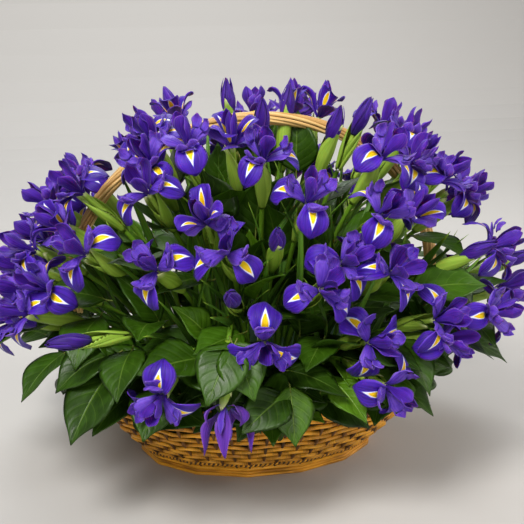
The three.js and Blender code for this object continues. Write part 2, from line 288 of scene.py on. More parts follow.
class Piece:
    """Collects shapes with their finishes and makes one Blender object of them.

    Attributes:
        MARGIN: Share of a map cell that stays empty at each side, along and across.
    """

    MARGIN = (0.04, 0.08)

    def __init__(self, name: str, slot: str, replaced: tuple = (), columns: int = 0) -> None:
        """Starts an empty piece.

        Args:
            name: The object's name.
            slot: Name of the record's material slot; kept but not used.
            replaced: CAD nodes that it stands for.
            columns: Cells across its map, or 0 for a square map.
        """
        self.name, self.slot, self.replaced, self.columns = name, slot, replaced, columns
        self.shapes: list = []

    def add(self, shape: Shape, finish: "Finish") -> None:
        """Adds a shape in a finish."""
        self.shapes.append((shape, finish))

    def make(self) -> None:
        """Makes the object, dresses it, and lets it ride on the root body."""
        finishes = list(dict.fromkeys(finish for _, finish in self.shapes))
        total = sum(shape.cell_count for shape, _ in self.shapes)
        columns = self.columns or math.ceil(math.sqrt(total))
        rows = math.ceil(total / columns)
        points, faces, places, patterns, slots = [], [], [], [], []
        start = cell = 0
        for shape, finish in self.shapes:
            points.append(shape.points)
            patterns.append(shape.pattern)
            faces += [[c + start for c in face] for face in shape.faces]
            for own, corners in zip(shape.cells, shape.places):
                column, row = (cell + own) % columns, (cell + own) // columns
                for u, v in corners:
                    places.append((column + self.MARGIN[0] + (1 - 2 * self.MARGIN[0]) * u) / columns)
                    places.append((row + self.MARGIN[1] + (1 - 2 * self.MARGIN[1]) * v) / rows)
            slots += [finishes.index(finish)] * len(shape.faces)
            start += len(shape.points)
            cell += shape.cell_count
        mesh = bpy.data.meshes.new(self.name)
        mesh.from_pydata(np.vstack(points).tolist(), [], faces)
        mesh.uv_layers.new(name="OFBake").uv.foreach_set("vector", places)
        pattern = mesh.attributes.new(PATTERN, "FLOAT_VECTOR", "POINT")
        pattern.data.foreach_set("vector", np.vstack(patterns).astype(np.float32).ravel())
        mesh.polygons.foreach_set("material_index", slots)
        mesh.polygons.foreach_set("use_smooth", [True] * len(faces))
        for finish in finishes:
            mesh.materials.append(finish.material())
        made = bpy.data.objects.new(self.name, mesh)
        bpy.context.scene.collection.objects.link(made)
        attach(made, "root")
        if self.replaced:
            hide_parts(*self.replaced)
        LOG.info("%s: %d faces", self.name, len(faces))


# ---- Finishes ----------------------------------------------------------------


def shade(code: str) -> tuple:
    """A colour as the shader takes it.

    Args:
        code: Six hexadecimal digits, as a screen shows the colour.

    Returns:
        Red, green, blue and alpha, by amount of light.
    """
    parts = [int(code[i : i + 2], 16) / 255 for i in (0, 2, 4)]
    linear = [p / 12.92 if p <= 0.04045 else ((p + 0.055) / 1.055) ** 2.4 for p in parts]
    return (*linear, 1.0)


class Bench:
    """Adds and joins the nodes of one shader tree."""

    def __init__(self, tree: bpy.types.NodeTree) -> None:
        """Works on the given tree."""
        self.tree = tree

    def add(self, kind: str, **settings: object) -> bpy.types.Node:
        """Adds a node and sets its properties.

        Args:
            kind: Blender's name of the node type.
            settings: Value of each property.

        Returns:
            The node.
        """
        node = self.tree.nodes.new(kind)
        for name, value in settings.items():
            setattr(node, name, value)
        return node

    def feed(self, socket: bpy.types.NodeSocket, value: object) -> None:
        """Joins an output to a socket, or sets a plain value on it.

        Args:
            socket: The input.
            value: An output, a number or a colour.
        """
        if isinstance(value, bpy.types.NodeSocket):
            self.tree.links.new(value, socket)
        else:
            socket.default_value = value

    def maths(self, operation: str, a: object, b: object = 0.0) -> bpy.types.NodeSocket:
        """One sum of two values.

        Args:
            operation: Blender's name of the sum.
            a: First value.
            b: Second value.

        Returns:
            The result.
        """
        node = self.add("ShaderNodeMath", operation=operation)
        self.feed(node.inputs[0], a)
        self.feed(node.inputs[1], b)
        return node.outputs[0]

    def weighed(self, start: float, *parts: tuple) -> bpy.types.NodeSocket:
        """Values added up, each times its weight.

        Args:
            start: What they are added to.
            parts: Value and weight of each.

        Returns:
            The total.
        """
        total = start
        for value, weight in parts:
            total = self.maths("ADD", total, self.maths("MULTIPLY", value, weight))
        return total

    def between(self, value: object, low: float, high: float) -> bpy.types.NodeSocket:
        """Rises smoothly from 0 to 1 as the value goes from low to high.

        Args:
            value: The value.
            low: Where the result is 0.
            high: Where the result is 1, which may be less than low.

        Returns:
            The result.
        """
        node = self.add("ShaderNodeMapRange", interpolation_type="SMOOTHSTEP")
        self.feed(node.inputs["Value"], value)
        self.feed(node.inputs["From Min"], low)
        self.feed(node.inputs["From Max"], high)
        return node.outputs["Result"]

    def mix(self, share: object, a: object, b: object) -> bpy.types.NodeSocket:
        """A colour between two colours.

        Args:
            share: Share of the second colour.
            a: First colour.
            b: Second colour.

        Returns:
            The colour.
        """
        node = self.add("ShaderNodeMix", data_type="RGBA")
        # The colour sockets share their names with the number sockets, so they go by position
        for position, value in ((0, share), (6, a), (7, b)):
            self.feed(node.inputs[position], value)
        return node.outputs[2]

    def vector(self, x: object, y: object, z: object) -> bpy.types.NodeSocket:
        """A vector from three values.

        Args:
            x: First value.
            y: Second value.
            z: Third value.

        Returns:
            The vector.
        """
        node = self.add("ShaderNodeCombineXYZ")
        for socket, value in zip(node.inputs, (x, y, z)):
            self.feed(socket, value)
        return node.outputs[0]

    def parts(self, vector: object) -> tuple:
        """The three values of a vector.

        Args:
            vector: The vector.

        Returns:
            The values.
        """
        node = self.add("ShaderNodeSeparateXYZ")
        self.feed(node.inputs[0], vector)
        return tuple(node.outputs)

    def noise(self, vector: object, scale: object, detail: float = 2.0) -> bpy.types.NodeSocket:
        """A cloudy value from 0 to 1.

        Args:
            vector: Where in the cloud.
            scale: How fine it is.
            detail: How much finer cloud is laid over it.

        Returns:
            The value.
        """
        node = self.add("ShaderNodeTexNoise")
        self.feed(node.inputs["Vector"], vector)
        self.feed(node.inputs["Scale"], scale)
        self.feed(node.inputs["Detail"], detail)
        return node.outputs["Fac"]

    def group(self, tree: bpy.types.NodeTree, **values: object) -> bpy.types.NodeSocket:
        """Places a node group that has one output.

        Args:
            tree: The group.
            values: Value of each named input.

        Returns:
            The group's output.
        """
        node = self.add("ShaderNodeGroup", node_tree=tree)
        for name, value in values.items():
            self.feed(node.inputs[name], value)
        return node.outputs[0]


class SharedEffects:
    """Node groups that several finishes use, each built once.

    Attributes:
        FIBRE_GAP: How far apart in the noise two pieces' streaks lie.
        BLOTCH_GAP: How far apart in the noise two pieces' blotches lie.
        built: The groups that have been asked for.
    """

    FIBRE_GAP = 61.0
    BLOTCH_GAP = 43.0
    built: dict = {}

    @classmethod
    def start(cls, name: str, inputs: tuple, output: str) -> tuple:
        """Starts a node group.

        Args:
            name: The group's name.
            inputs: Name and socket type of each input.
            output: Name of its output, a number.

        Returns:
            A bench for the group, and its input and output nodes.
        """
        tree = bpy.data.node_groups.new(name, "ShaderNodeTree")
        for label, kind in inputs:
            tree.interface.new_socket(label, in_out="INPUT", socket_type=kind)
        tree.interface.new_socket(output, in_out="OUTPUT", socket_type="NodeSocketFloat")
        bench = Bench(tree)
        cls.built[name] = tree
        return bench, bench.add("NodeGroupInput"), bench.add("NodeGroupOutput")

    @classmethod
    def fibres(cls) -> bpy.types.NodeTree:
        """Fine streaks that run along a piece.

        Returns:
            The group.
        """
        if "fibres" not in cls.built:
            inputs = (("Pattern", "NodeSocketVector"), ("Fineness", "NodeSocketFloat"),
                      ("Stretch", "NodeSocketFloat"))
            bench, given, result = cls.start("fibres", inputs, "Streak")
            along, across, tone = bench.parts(given.outputs["Pattern"])
            place = bench.vector(
                bench.maths("MULTIPLY", along, given.outputs["Stretch"]),
                bench.maths("MULTIPLY", across, given.outputs["Fineness"]),
                bench.maths("MULTIPLY", tone, cls.FIBRE_GAP),
            )
            bench.feed(result.inputs["Streak"], bench.between(bench.noise(place, 1.0, 3.0), 0.3, 0.7))
        return cls.built["fibres"]

    @classmethod
    def mottle(cls) -> bpy.types.NodeTree:
        """Soft blotches over a piece.

        Returns:
            The group.
        """
        if "mottle" not in cls.built:
            inputs = (("Pattern", "NodeSocketVector"), ("Size", "NodeSocketFloat"))
            bench, given, result = cls.start("mottle", inputs, "Blotch")
            along, across, tone = bench.parts(given.outputs["Pattern"])
            across, tone = bench.maths("MULTIPLY", across, 0.5), bench.maths("MULTIPLY", tone, cls.BLOTCH_GAP)
            cloud = bench.noise(bench.vector(along, across, tone), given.outputs["Size"])
            bench.feed(result.inputs["Blotch"], bench.between(cloud, 0.32, 0.68))
        return cls.built["mottle"]


@dataclass(frozen=True)
class Finish:
    """What a surface looks like. Each kind adds its own pattern in paint."""

    name: str
    roughness: float = 0.5

    def material(self) -> bpy.types.Material:
        """The finish's material, made the first time that it is asked for.

        Returns:
            The material.
        """
        found = bpy.data.materials.get(self.name)
        if found:
            return found
        made = bpy.data.materials.new(self.name)
        made.use_nodes = True
        made.node_tree.nodes.clear()
        bench = Bench(made.node_tree)
        shader = bench.add("ShaderNodeBsdfPrincipled")
        output = bench.add("ShaderNodeOutputMaterial")
        bench.feed(output.inputs["Surface"], shader.outputs[0])
        shader.inputs["Roughness"].default_value = self.roughness
        self.paint(bench, shader)
        return made

    def paint(self, bench: Bench, shader: bpy.types.Node) -> None:
        """Feeds the shader."""

    @staticmethod
    def pattern(bench: Bench) -> bpy.types.NodeSocket:
        """The pattern that each piece's points carry."""
        return bench.add("ShaderNodeAttribute", attribute_name=PATTERN).outputs["Vector"]

    @staticmethod
    def bump(bench: Bench, shader: bpy.types.Node, height: object, depth: float) -> None:
        """Raises the surface.

        Args:
            bench: Where the nodes are added.
            shader: The shader.
            height: How high, from 0 to 1.
            depth: What a height of 1 stands for, in metres.
        """
        node = bench.add("ShaderNodeBump")
        node.inputs["Strength"].default_value = 0.6
        node.inputs["Distance"].default_value = depth
        bench.feed(node.inputs["Height"], height)
        bench.feed(shader.inputs["Normal"], node.outputs[0])


@dataclass(frozen=True)
class Signal:
    """The yellow mark on a fall, with its white edge and the vivid blue round it.

    Attributes:
        middle: Where its middle lies along the fall.
        reach: Its half length, as a share of the fall.
        breadth: Its half breadth at the middle, as a share of the fall's.
        taper: How fast it narrows towards the tip.
        ragged: How far the veins move its edge.
        step: How much closer to the foot the yellow ends than the white.
        vivid: Where the vivid blue begins and where it is full, in half lengths from the middle.
        white: The same for the white.
        yellow: The same for the yellow.
    """

    middle: float = 0.57
    reach: float = 0.20
    breadth: float = 0.20
    taper: float = 0.55
    ragged: float = 0.16
    step: float = 0.28
    vivid: tuple = (2.2, 1.5)
    white: tuple = (1.52, 1.2)
    yellow: tuple = (1.14, 0.98)

    def lay(self, bench: Bench, along: object, across: object, streak: object, colour: object) -> object:
        """Lays the signal over a colour.

        Args:
            bench: Where the nodes are added.
            along: Distance along the fall.
            across: Distance across the fall.
            streak: The fall's veins.
            colour: The colour under the signal.

        Returns:
            The colour with the signal.
        """
        past = bench.maths("SUBTRACT", along, self.middle)
        width = bench.weighed(self.breadth, (past, -self.taper))
        x = bench.maths("DIVIDE", past, self.reach)
        y = bench.maths("DIVIDE", across, width)
        squares = [bench.maths("POWER", bench.maths("ABSOLUTE", value), 2.0) for value in (x, y)]
        far = bench.maths("SQRT", bench.maths("ADD", *squares))
        far = bench.maths("ADD", far, bench.maths("MULTIPLY", streak, self.ragged))
        blue = bench.mix(bench.between(far, *self.vivid), colour, shade("3A22B4"))
        white = bench.mix(bench.between(far, *self.white), blue, shade("E8E6F4"))
        yellow = bench.mix(streak, shade("FFDC14"), shade("F2B400"))
        inner = bench.maths("ADD", far, bench.maths("MULTIPLY", x, self.step))
        return bench.mix(bench.between(inner, *self.yellow), white, yellow)


@dataclass(frozen=True)
class PetalFinish(Finish):
    """Velvety petal with fine veins, painted sheen that lightens its edges into a pale rim and, on a fall,
    the yellow signal.
    """

    deep: str = "22056A"
    light: str = "4C20B4"
    # Colour of the painted sheen along the rim
    rim: str = "6E4AD2"
    foot: str = "3A1798"
    signal: Signal | None = None
    vein_share: float = 0.45
    blotch_share: float = 0.3
    tone_share: float = 0.35
    edge_sheen_share: float = 0.35
    darker: float = 0.22
    rim_sheen_share: float = 0.55
    vein_depth: float = 0.0007

    def paint(self, bench: Bench, shader: bpy.types.Node) -> None:
        """Feeds the shader.

        Args:
            bench: Where the nodes are added.
            shader: The shader.
        """
        pattern = self.pattern(bench)
        along, across, tone = bench.parts(pattern)
        veins = bench.group(SharedEffects.fibres(), Pattern=pattern, Fineness=9.0, Stretch=1.1)
        blotch = bench.group(SharedEffects.mottle(), Pattern=pattern, Size=2.6)
        edge = bench.maths("ABSOLUTE", across)
        # Painted sheen: the colour lightens towards the edges
        share = bench.weighed(-self.darker, (veins, self.vein_share), (blotch, self.blotch_share),
                              (tone, self.tone_share), (edge, self.edge_sheen_share))
        colour = bench.mix(share, shade(self.deep), shade(self.light))
        # Painted sheen: a pale rim along the edge
        rim_sheen = bench.maths("MULTIPLY", bench.between(edge, 0.8, 1.0), self.rim_sheen_share)
        colour = bench.mix(rim_sheen, colour, shade(self.rim))
        colour = bench.mix(bench.between(along, 0.35, 0.0), colour, shade(self.foot))
        if self.signal:
            colour = self.signal.lay(bench, along, across, veins, colour)
        bench.feed(shader.inputs["Base Color"], colour)
        self.bump(bench, shader, veins, self.vein_depth)
        shader.inputs["Sheen Weight"].default_value = 0.06
        shader.inputs["Sheen Roughness"].default_value = 0.4
        shader.inputs["Subsurface Weight"].default_value = 0.12
        shader.inputs["Subsurface Scale"].default_value = 0.003
        shader.inputs["Specular IOR Level"].default_value = 0.22


@dataclass(frozen=True)
class GreenFinish(Finish):
    """Stems, sheaths and blades: fine lines along a green that changes from foot to tip."""

    deep: str = "4C7A2C"
    light: str = "8DB84E"
    tip: str = "A8C26A"
    tip_from: float = 0.8
    fineness: float = 7.0
    line_share: float = 0.4
    blotch_share: float = 0.25
    tone_share: float = 0.4
    line_depth: float = 0.0003

    def paint(self, bench: Bench, shader: bpy.types.Node) -> None:
        """Feeds the shader.

        Args:
            bench: Where the nodes are added.
            shader: The shader.
        """
        pattern = self.pattern(bench)
        along, _, tone = bench.parts(pattern)
        lines = bench.group(SharedEffects.fibres(), Pattern=pattern, Fineness=self.fineness, Stretch=0.35)
        blotch = bench.group(SharedEffects.mottle(), Pattern=pattern, Size=1.8)
        share = bench.weighed(0.0, (lines, self.line_share), (blotch, self.blotch_share),
                              (tone, self.tone_share))
        colour = bench.mix(share, shade(self.deep), shade(self.light))
        colour = bench.mix(bench.between(along, self.tip_from, 1.0), colour, shade(self.tip))
        bench.feed(shader.inputs["Base Color"], colour)
        self.bump(bench, shader, lines, self.line_depth)
        shader.inputs["Specular IOR Level"].default_value = 0.3
        shader.inputs["Subsurface Weight"].default_value = 0.08
        shader.inputs["Subsurface Scale"].default_value = 0.003


@dataclass(frozen=True)
class LeafFinish(Finish):
    """A leathery leaf with a pale midrib and side veins that curve towards its tip."""

    deep: str = "122403"
    light: str = "3A600A"
    vein: str = "6E8E34"
    vein_count: float = 6.5
    vein_slant: float = 0.3
    side_vein_share: float = 0.55
    vein_share: float = 0.36
    tone_share: float = 0.6
    blotch_share: float = 0.3
    fine_share: float = 0.1
    depth: float = 0.0009

    def paint(self, bench: Bench, shader: bpy.types.Node) -> None:
        """Feeds the shader.

        Args:
            bench: Where the nodes are added.
            shader: The shader.
        """
        pattern = self.pattern(bench)
        along, across, tone = bench.parts(pattern)
        edge = bench.maths("ABSOLUTE", across)
        bend = bench.maths("MULTIPLY", bench.maths("POWER", edge, 1.3), self.vein_slant)
        slant = bench.maths("SUBTRACT", along, bend)
        wave = bench.maths("PINGPONG", bench.maths("MULTIPLY", slant, self.vein_count), 0.5)
        side = bench.maths("MULTIPLY", bench.between(wave, 0.045, 0.0), bench.between(edge, 1.0, 0.5))
        middle = bench.between(edge, 0.05, 0.015)
        veins = bench.maths("MAXIMUM", middle, bench.maths("MULTIPLY", side, self.side_vein_share))
        blotch = bench.group(SharedEffects.mottle(), Pattern=pattern, Size=3.4)
        fine = bench.group(SharedEffects.fibres(), Pattern=pattern, Fineness=16.0, Stretch=16.0)
        share = bench.weighed(0.0, (tone, self.tone_share), (blotch, self.blotch_share),
                              (fine, self.fine_share))
        colour = bench.mix(share, shade(self.deep), shade(self.light))
        colour = bench.mix(bench.maths("MULTIPLY", veins, self.vein_share), colour, shade(self.vein))
        bench.feed(shader.inputs["Base Color"], colour)
        bench.feed(shader.inputs["Roughness"], bench.weighed(self.roughness - 0.06, (blotch, 0.12)))
        quilt = bench.between(wave, 0.0, 0.32)
        self.bump(bench, shader, bench.weighed(0.0, (quilt, 0.6), (middle, -0.8), (fine, 0.12)), self.depth)
        shader.inputs["Specular IOR Level"].default_value = 0.28


@dataclass(frozen=True)
class RodFinish(Finish):
    """Peeled willow: streaks along the rod, dark stains, painted shade behind the stakes and a satin skin."""

    deep: str = "A05E0A"
    light: str = "FFB830"
    # Colour of the real stains and also of the painted shade behind the stakes
    stain_and_shade: str = "3A1E06"
    stained: float = 0.35
    streak_share: float = 0.5
    tone_share: float = 0.45
    blotch_share: float = 0.2
    # How much painted shade darkens a rod where it goes in behind a stake
    painted_shade_share: float = 0.95
    streak_depth: float = 0.0004

    def paint(self, bench: Bench, shader: bpy.types.Node) -> None:
        """Feeds the shader.

        Args:
            bench: Where the nodes are added.
            shader: The shader.
        """
        pattern = self.pattern(bench)
        tone = bench.parts(pattern)[2]
        lines = bench.group(SharedEffects.fibres(), Pattern=pattern, Fineness=3.2, Stretch=0.8)
        blotch = bench.group(SharedEffects.mottle(), Pattern=pattern, Size=0.9)
        share = bench.weighed(0.0, (lines, self.streak_share), (tone, self.tone_share),
                              (blotch, self.blotch_share))
        colour = bench.mix(share, shade(self.deep), shade(self.light))
        dark = bench.maths("MULTIPLY", bench.between(blotch, 0.45, 0.0), self.stained)
        # Painted shade: tones below 0 mark where a woven rod goes in behind a stake
        behind = bench.maths("MULTIPLY", bench.between(tone, 0.0, -0.9), self.painted_shade_share)
        # The same dark colour paints the real stains and the painted shade
        colour = bench.mix(bench.maths("MAXIMUM", dark, behind), colour, shade(self.stain_and_shade))
        bench.feed(shader.inputs["Base Color"], colour)
        bench.feed(shader.inputs["Roughness"], bench.weighed(self.roughness - 0.07, (lines, 0.15)))
        self.bump(bench, shader, lines, self.streak_depth)


@dataclass(frozen=True)
class BlockFinish(Finish):
    """Foam or film: a fine grain all over the solid, by place."""

    deep: str = "16301A"
    light: str = "2F5A34"
    grain: float = 400.0
    depth: float = 0.001
    clouds: float = 14.0

    def paint(self, bench: Bench, shader: bpy.types.Node) -> None:
        """Feeds the shader.

        Args:
            bench: Where the nodes are added.
            shader: The shader.
        """
        place = bench.add("ShaderNodeTexCoord").outputs["Object"]
        fine = bench.noise(place, self.grain, 3.0)
        coarse = bench.noise(place, self.clouds)
        share = bench.maths("MULTIPLY", bench.maths("ADD", fine, coarse), 0.5)
        bench.feed(shader.inputs["Base Color"], bench.mix(share, shade(self.deep), shade(self.light)))
        self.bump(bench, shader, fine, self.depth)


# Further than any tip: the green stays the same all along
NO_TIP = 99.0

FALL = PetalFinish("fall_petal", 0.5, signal=Signal())
STANDARD = PetalFinish("standard_petal", 0.5, "280A6C", "5A2CB8", "8058D4", "30127A")
STYLE = PetalFinish("style_arm", 0.45, "401C9C", "7650CC", "9C80E2", "4826A8")
BUD = PetalFinish("bud_petal", 0.5, "1E0652", "481F98", "6A42C0", "2A1E60")
LIMP = PetalFinish("limp_petal", 0.55, "3A1478", "6C38B2", "8A60C8", "5060B0")
SHEATH = GreenFinish("sheath", 0.45, "64881C", "A8C84E", "D4DC9C", 0.8, 6.0)
STEM = GreenFinish("flower_stem", 0.45, "2E5008", "648E22", "648E22", NO_TIP, 3.0)
BLADE = GreenFinish("iris_blade", 0.42, "264A10", "5E8C2A", "86AA38", 0.85, 7.0)
SALAL = LeafFinish("salal_leaf_grown", 0.42)
SALAL_PALE = LeafFinish("salal_leaf_young", 0.4, "2A4C06", "5E8A18", "92B048")
TWIG = GreenFinish("salal_twig", 0.55, "3E4C18", "6C7A30", "6C7A30", NO_TIP, 3.0)
WILLOW = RodFinish("willow_rod", 0.45)
DARK_WILLOW = RodFinish("willow_waling", 0.5, "2E1A06", "7A5020", "1A0E04", 0.5)
HANDLE_ROD = RodFinish("handle_rod", 0.38, "B07C3A", "F2CC88", "8C5A24", 0.25)
FOAM_FINISH = BlockFinish("wet_foam", 0.9)
FILM_FINISH = BlockFinish("dark_film", 0.25, "0E150C", "232E1C", 60.0, 0.002)


# ---- Flowers -----------------------------------------------------------------


class Stage(Enum):
    """How far an iris has opened."""

    OPEN = "open"
    HALF = "half"
    BUD = "bud"
    SPENT = "spent"


@dataclass(frozen=True)
class PetalForm:
    """One petal before it is bent and turned; sizes in millimetres at even steps from foot to tip.

    Attributes:
        line: Distance from the flower's axis and distance along it.
        half_widths: Half widths.
        cups: How far the edges rise, as a share of the half width.
        ruffle: Height of the waves in the edge.
        thickness: Thickness in the middle.
        sway: Spread of the chance tilt, in degrees.
        twist: Spread of the chance twist, in degrees.
        rows: Points along.
        columns: Points across.
        bend: Spread of the chance bend to the side, at the tip.
        size_spread: Spread of the chance share in its width.
        least_half_width: Half width that no part goes under.
        waves: Least and most waves in the edge, in radians from foot to tip.
        edge_power: How closely the waves keep to the edge.
        turn_spread: Spread of the chance turn round the flower's axis, in degrees.
    """

    line: tuple
    half_widths: tuple
    cups: tuple
    ruffle: float = 1.0
    thickness: float = 0.5
    sway: float = 5.0
    twist: float = 10.0
    rows: int = 15
    columns: int = 9
    bend: float = 2.8
    size_spread: float = 0.05
    least_half_width: float = 0.25
    waves: tuple = (9, 13)
    edge_power: float = 2.2
    turn_spread: float = 4.0

    def grid(self, rng: np.random.Generator, azimuth: float) -> np.ndarray:
        """The petal's front.

        Args:
            rng: Where the chance bends come from.
            azimuth: Degrees round the flower's axis.

        Returns:
            Places in the flower's own frame, in millimetres.
        """
        line = smooth_line(self.line, self.rows)
        middle = np.stack([line[:, 0], np.zeros(self.rows), line[:, 1]], axis=1)
        share = np.linspace(0, 1, self.rows)
        middle[:, 1] += rng.normal(0, self.bend) * share**2
        tangent = unit(np.gradient(middle, axis=0))
        side = np.tile([0.0, 1.0, 0.0], (self.rows, 1))
        twist = math.radians(rng.normal(0, self.twist)) * share
        side = turned_about(square_to(side, tangent), tangent, twist)
        half = smooth_line(self.half_widths, self.rows).clip(self.least_half_width)
        half = half * rng.normal(1, self.size_spread)
        across = np.linspace(-1, 1, self.columns)
        cup = smooth_line(self.cups, self.rows)
        lift = (cup * half)[:, None] * across**2
        phase = rng.uniform(0, 2 * math.pi, 2)
        wave = np.sin(share[:, None] * rng.uniform(*self.waves) + np.where(across < 0, phase[0], phase[1]))
        ends = np.sin(math.pi * share)[:, None].clip(0) ** 0.5
        lift = lift + wave * self.ruffle * np.abs(across) ** self.edge_power * ends
        grid = ribbon(middle, side, half, lift, self.columns)
        return spun(tilted(grid, rng.normal(0, self.sway)), azimuth + rng.normal(0, self.turn_spread))


@dataclass(frozen=True)
class WrapForm:
    """A petal or sheath wrapped round the flower's axis; sizes in millimetres at even steps.

    Attributes:
        low: Where it starts along the axis.
        high: Where its tip is.
        radii: Distance from the axis.
        wraps: Degrees that each side reaches round.
        spiral: Degrees that it turns from foot to tip.
        overlap: How much further out one side lies than the other.
        thickness: Thickness in the middle.
        rows: Points along.
        columns: Points across.
        spiral_power: How late along it the turn comes.
        tip_spread: Spread of the chance height of its tip.
    """

    low: float
    high: float
    radii: tuple
    wraps: tuple
    spiral: float = 0.0
    overlap: float = 0.1
    thickness: float = 0.6
    rows: int = 15
    columns: int = 11
    spiral_power: float = 1.3
    tip_spread: float = 1.5

    def grid(self, rng: np.random.Generator, azimuth: float) -> np.ndarray:
        """The inner face.

        Args:
            rng: Where the chance bends come from.
            azimuth: Degrees round the flower's axis.

        Returns:
            Places in the flower's own frame, in millimetres.
        """
        share = np.linspace(0, 1, self.rows)
        across = np.linspace(-1, 1, self.columns)
        radius = smooth_line(self.radii, self.rows)[:, None] * (1 + self.overlap * across)
        turn = np.radians(smooth_line(self.wraps, self.rows))[:, None] * across
        turn = turn + math.radians(self.spiral) * share[:, None] ** self.spiral_power + math.radians(azimuth)
        height = np.linspace(self.low, self.high, self.rows)[:, None] + 0 * across
        height = height + rng.normal(0, self.tip_spread) * share[:, None] ** 2
        return np.stack([radius * np.cos(turn), radius * np.sin(turn), height], axis=2)


def tilted(grid: np.ndarray, degrees: float) -> np.ndarray:
    """The grid leaned outwards from the flower's axis, about its foot.

    Args:
        grid: Places in the flower's own frame.
        degrees: How far it leans.

    Returns:
        The places.
    """
    c, s = math.cos(math.radians(degrees)), math.sin(math.radians(degrees))
    x, y, z = np.moveaxis(grid, -1, 0)
    return np.stack([x * c + z * s, y, z * c - x * s], axis=-1)


def spun(grid: np.ndarray, degrees: float) -> np.ndarray:
    """The grid turned about the flower's axis.

    Args:
        grid: Places in the flower's own frame.
        degrees: How far it turns.

    Returns:
        The places.
    """
    c, s = math.cos(math.radians(degrees)), math.sin(math.radians(degrees))
    x, y, z = np.moveaxis(grid, -1, 0)
    return np.stack([x * c - y * s, x * s + y * c, z], axis=-1)


@dataclass(frozen=True)
class HeadForm:
    """The petals of one stage.

    Attributes:
        rows: Form, first azimuth and finish of each set of three.
        tube_top: Where the flower's tube ends along the axis, in millimetres.
        sheath_rise: How much higher than an open flower's the sheaths stand, in millimetres.
    """

    rows: tuple
    tube_top: float
    sheath_rise: float = 0.0


OPEN_FALL = PetalForm(
    ((2, -3), (9, 4), (18, 9.5), (27, 11.5), (36, 8), (43, -1), (46, -14)),
    (2.6, 3.8, 5.4, 8, 12, 16, 18.6, 19.4, 17.8, 13.2, 1.4),
    (0.5, 0.55, 0.5, 0.15, -0.12, -0.2, -0.3),
    1.3, 0.5, 7.0, 12.0, 19, 11,
)
OPEN_STANDARD = PetalForm(
    ((2, -2), (5, 10), (8, 22), (11, 34), (12, 43), (10, 51)),
    (2, 3, 4.6, 7, 9.2, 10, 9.2, 6.4, 0.7),
    (0.7, 0.6, 0.5, 0.4, 0.3, 0.2),
    2.2, 0.45, 8.0, 26.0, 17, 9,
)
OPEN_STYLE = PetalForm(
    ((1.5, 1), (8, 9), (16, 15.5), (24, 18.5), (31, 20.5)),
    (3, 6.6, 10, 11.8, 11.6, 8),
    (-0.5, -0.45, -0.4, -0.3, -0.1),
    0.8, 0.5, 4.0, 6.0, 11, 9,
)
CREST = PetalForm(
    ((22, 16), (28, 19.5), (32, 25), (32.5, 32)),
    (4.4, 7.8, 7.6, 0.9),
    (0.2, 0.2, 0.3, 0.3),
    0.8, 0.4, 4.0, 14.0, 8, 7,
)
HALF_FALL = PetalForm(
    ((2, -2), (8, 8), (13, 19), (19, 29), (27, 35), (34, 34)),
    (2.4, 4.4, 6.8, 9.6, 12.4, 13.4, 10.6, 0.8),
    (0.7, 0.7, 0.6, 0.4, 0.2, -0.1),
    1.4, 0.5, 7.0, 16.0, 15, 9,
)
HALF_STANDARD = PetalForm(
    ((2, -2), (5, 12), (7, 26), (7, 40), (3.5, 54)),
    (2, 4, 6.8, 9.2, 9.6, 7, 0.5),
    (0.8, 0.7, 0.6, 0.55, 0.5),
    1.1, 0.45, 5.0, 14.0, 13, 9,
)
BUD_PETAL = WrapForm(
    -6, 49, (3.6, 6.4, 8.6, 9.0, 7.4, 4.4, 0.7), (85, 88, 86, 84, 80, 72, 60), 70.0, 0.14, 0.6, 17, 13
)
BUD_FOLD = PetalForm(
    ((6, 6), (8.8, 16), (9.2, 28), (6.4, 40), (2, 50)),
    (1.2, 2.4, 2.9, 2.2, 0.3),
    (0.3, 0.3, 0.3, 0.3, 0.3),
    0.3, 0.5, 0.0, 4.0, 13, 5,
)
SPENT_FALL = PetalForm(
    ((2, 0), (11, 9), (19, 22), (23, 40), (24, 60)),
    (2.2, 4.5, 8, 9.5, 6, 0.6),
    (0.6, 0.4, -0.3, -0.5, -0.4),
    2.2, 0.5, 7.0, 40.0, 19, 9,
)
SPENT_STANDARD = PetalForm(
    ((2, 0), (11, 2), (19, 7), (23, 16), (20, 27)),
    (2.2, 6, 11, 12, 7, 0.6),
    (0.3, 0.1, -0.3, -0.4, -0.3),
    1.8, 0.5, 8.0, 20.0, 15, 9,
)
SPENT_STYLE = PetalForm(
    ((1.5, 1), (5, 11), (8, 22), (9, 32), (8, 42)),
    (1.8, 3.4, 4.6, 4.4, 0.4),
    (-0.4, -0.4, -0.2, 0.1, 0.2),
    1.2, 0.4, 6.0, 25.0, 13, 7,
)
OUTER_SHEATH = WrapForm(
    -78, 8, (3.8, 6.4, 8.8, 9.6, 9.2, 8.4, 9.6), (172, 168, 155, 134, 104, 62, 6), 12.0, 0.06, 0.7, 17, 11
)
INNER_SHEATH = WrapForm(
    -70, -8, (3.5, 5.6, 7.4, 8.2, 8.0, 8.8), (170, 150, 135, 105, 62, 6), -10.0, 0.05, 0.6, 13, 9
)

HEADS = {
    Stage.OPEN: HeadForm(
        ((OPEN_FALL, 0, FALL), (OPEN_STANDARD, 60, STANDARD), (OPEN_STYLE, 0, STYLE), (CREST, -11, STYLE),
         (CREST, 11, STYLE)), 4,
    ),
    Stage.HALF: HeadForm(((HALF_FALL, 0, FALL), (HALF_STANDARD, 60, STANDARD), (OPEN_STYLE, 0, STYLE)), 2),
    Stage.BUD: HeadForm(((BUD_PETAL, 0, BUD), (BUD_FOLD, 40, STANDARD)), -2, 20.0),
    Stage.SPENT: HeadForm(((SPENT_FALL, 0, LIMP), (SPENT_STANDARD, 60, LIMP), (SPENT_STYLE, 20, STYLE)), 2),
}

# Petals of each kind round the flower
FOLD = 3


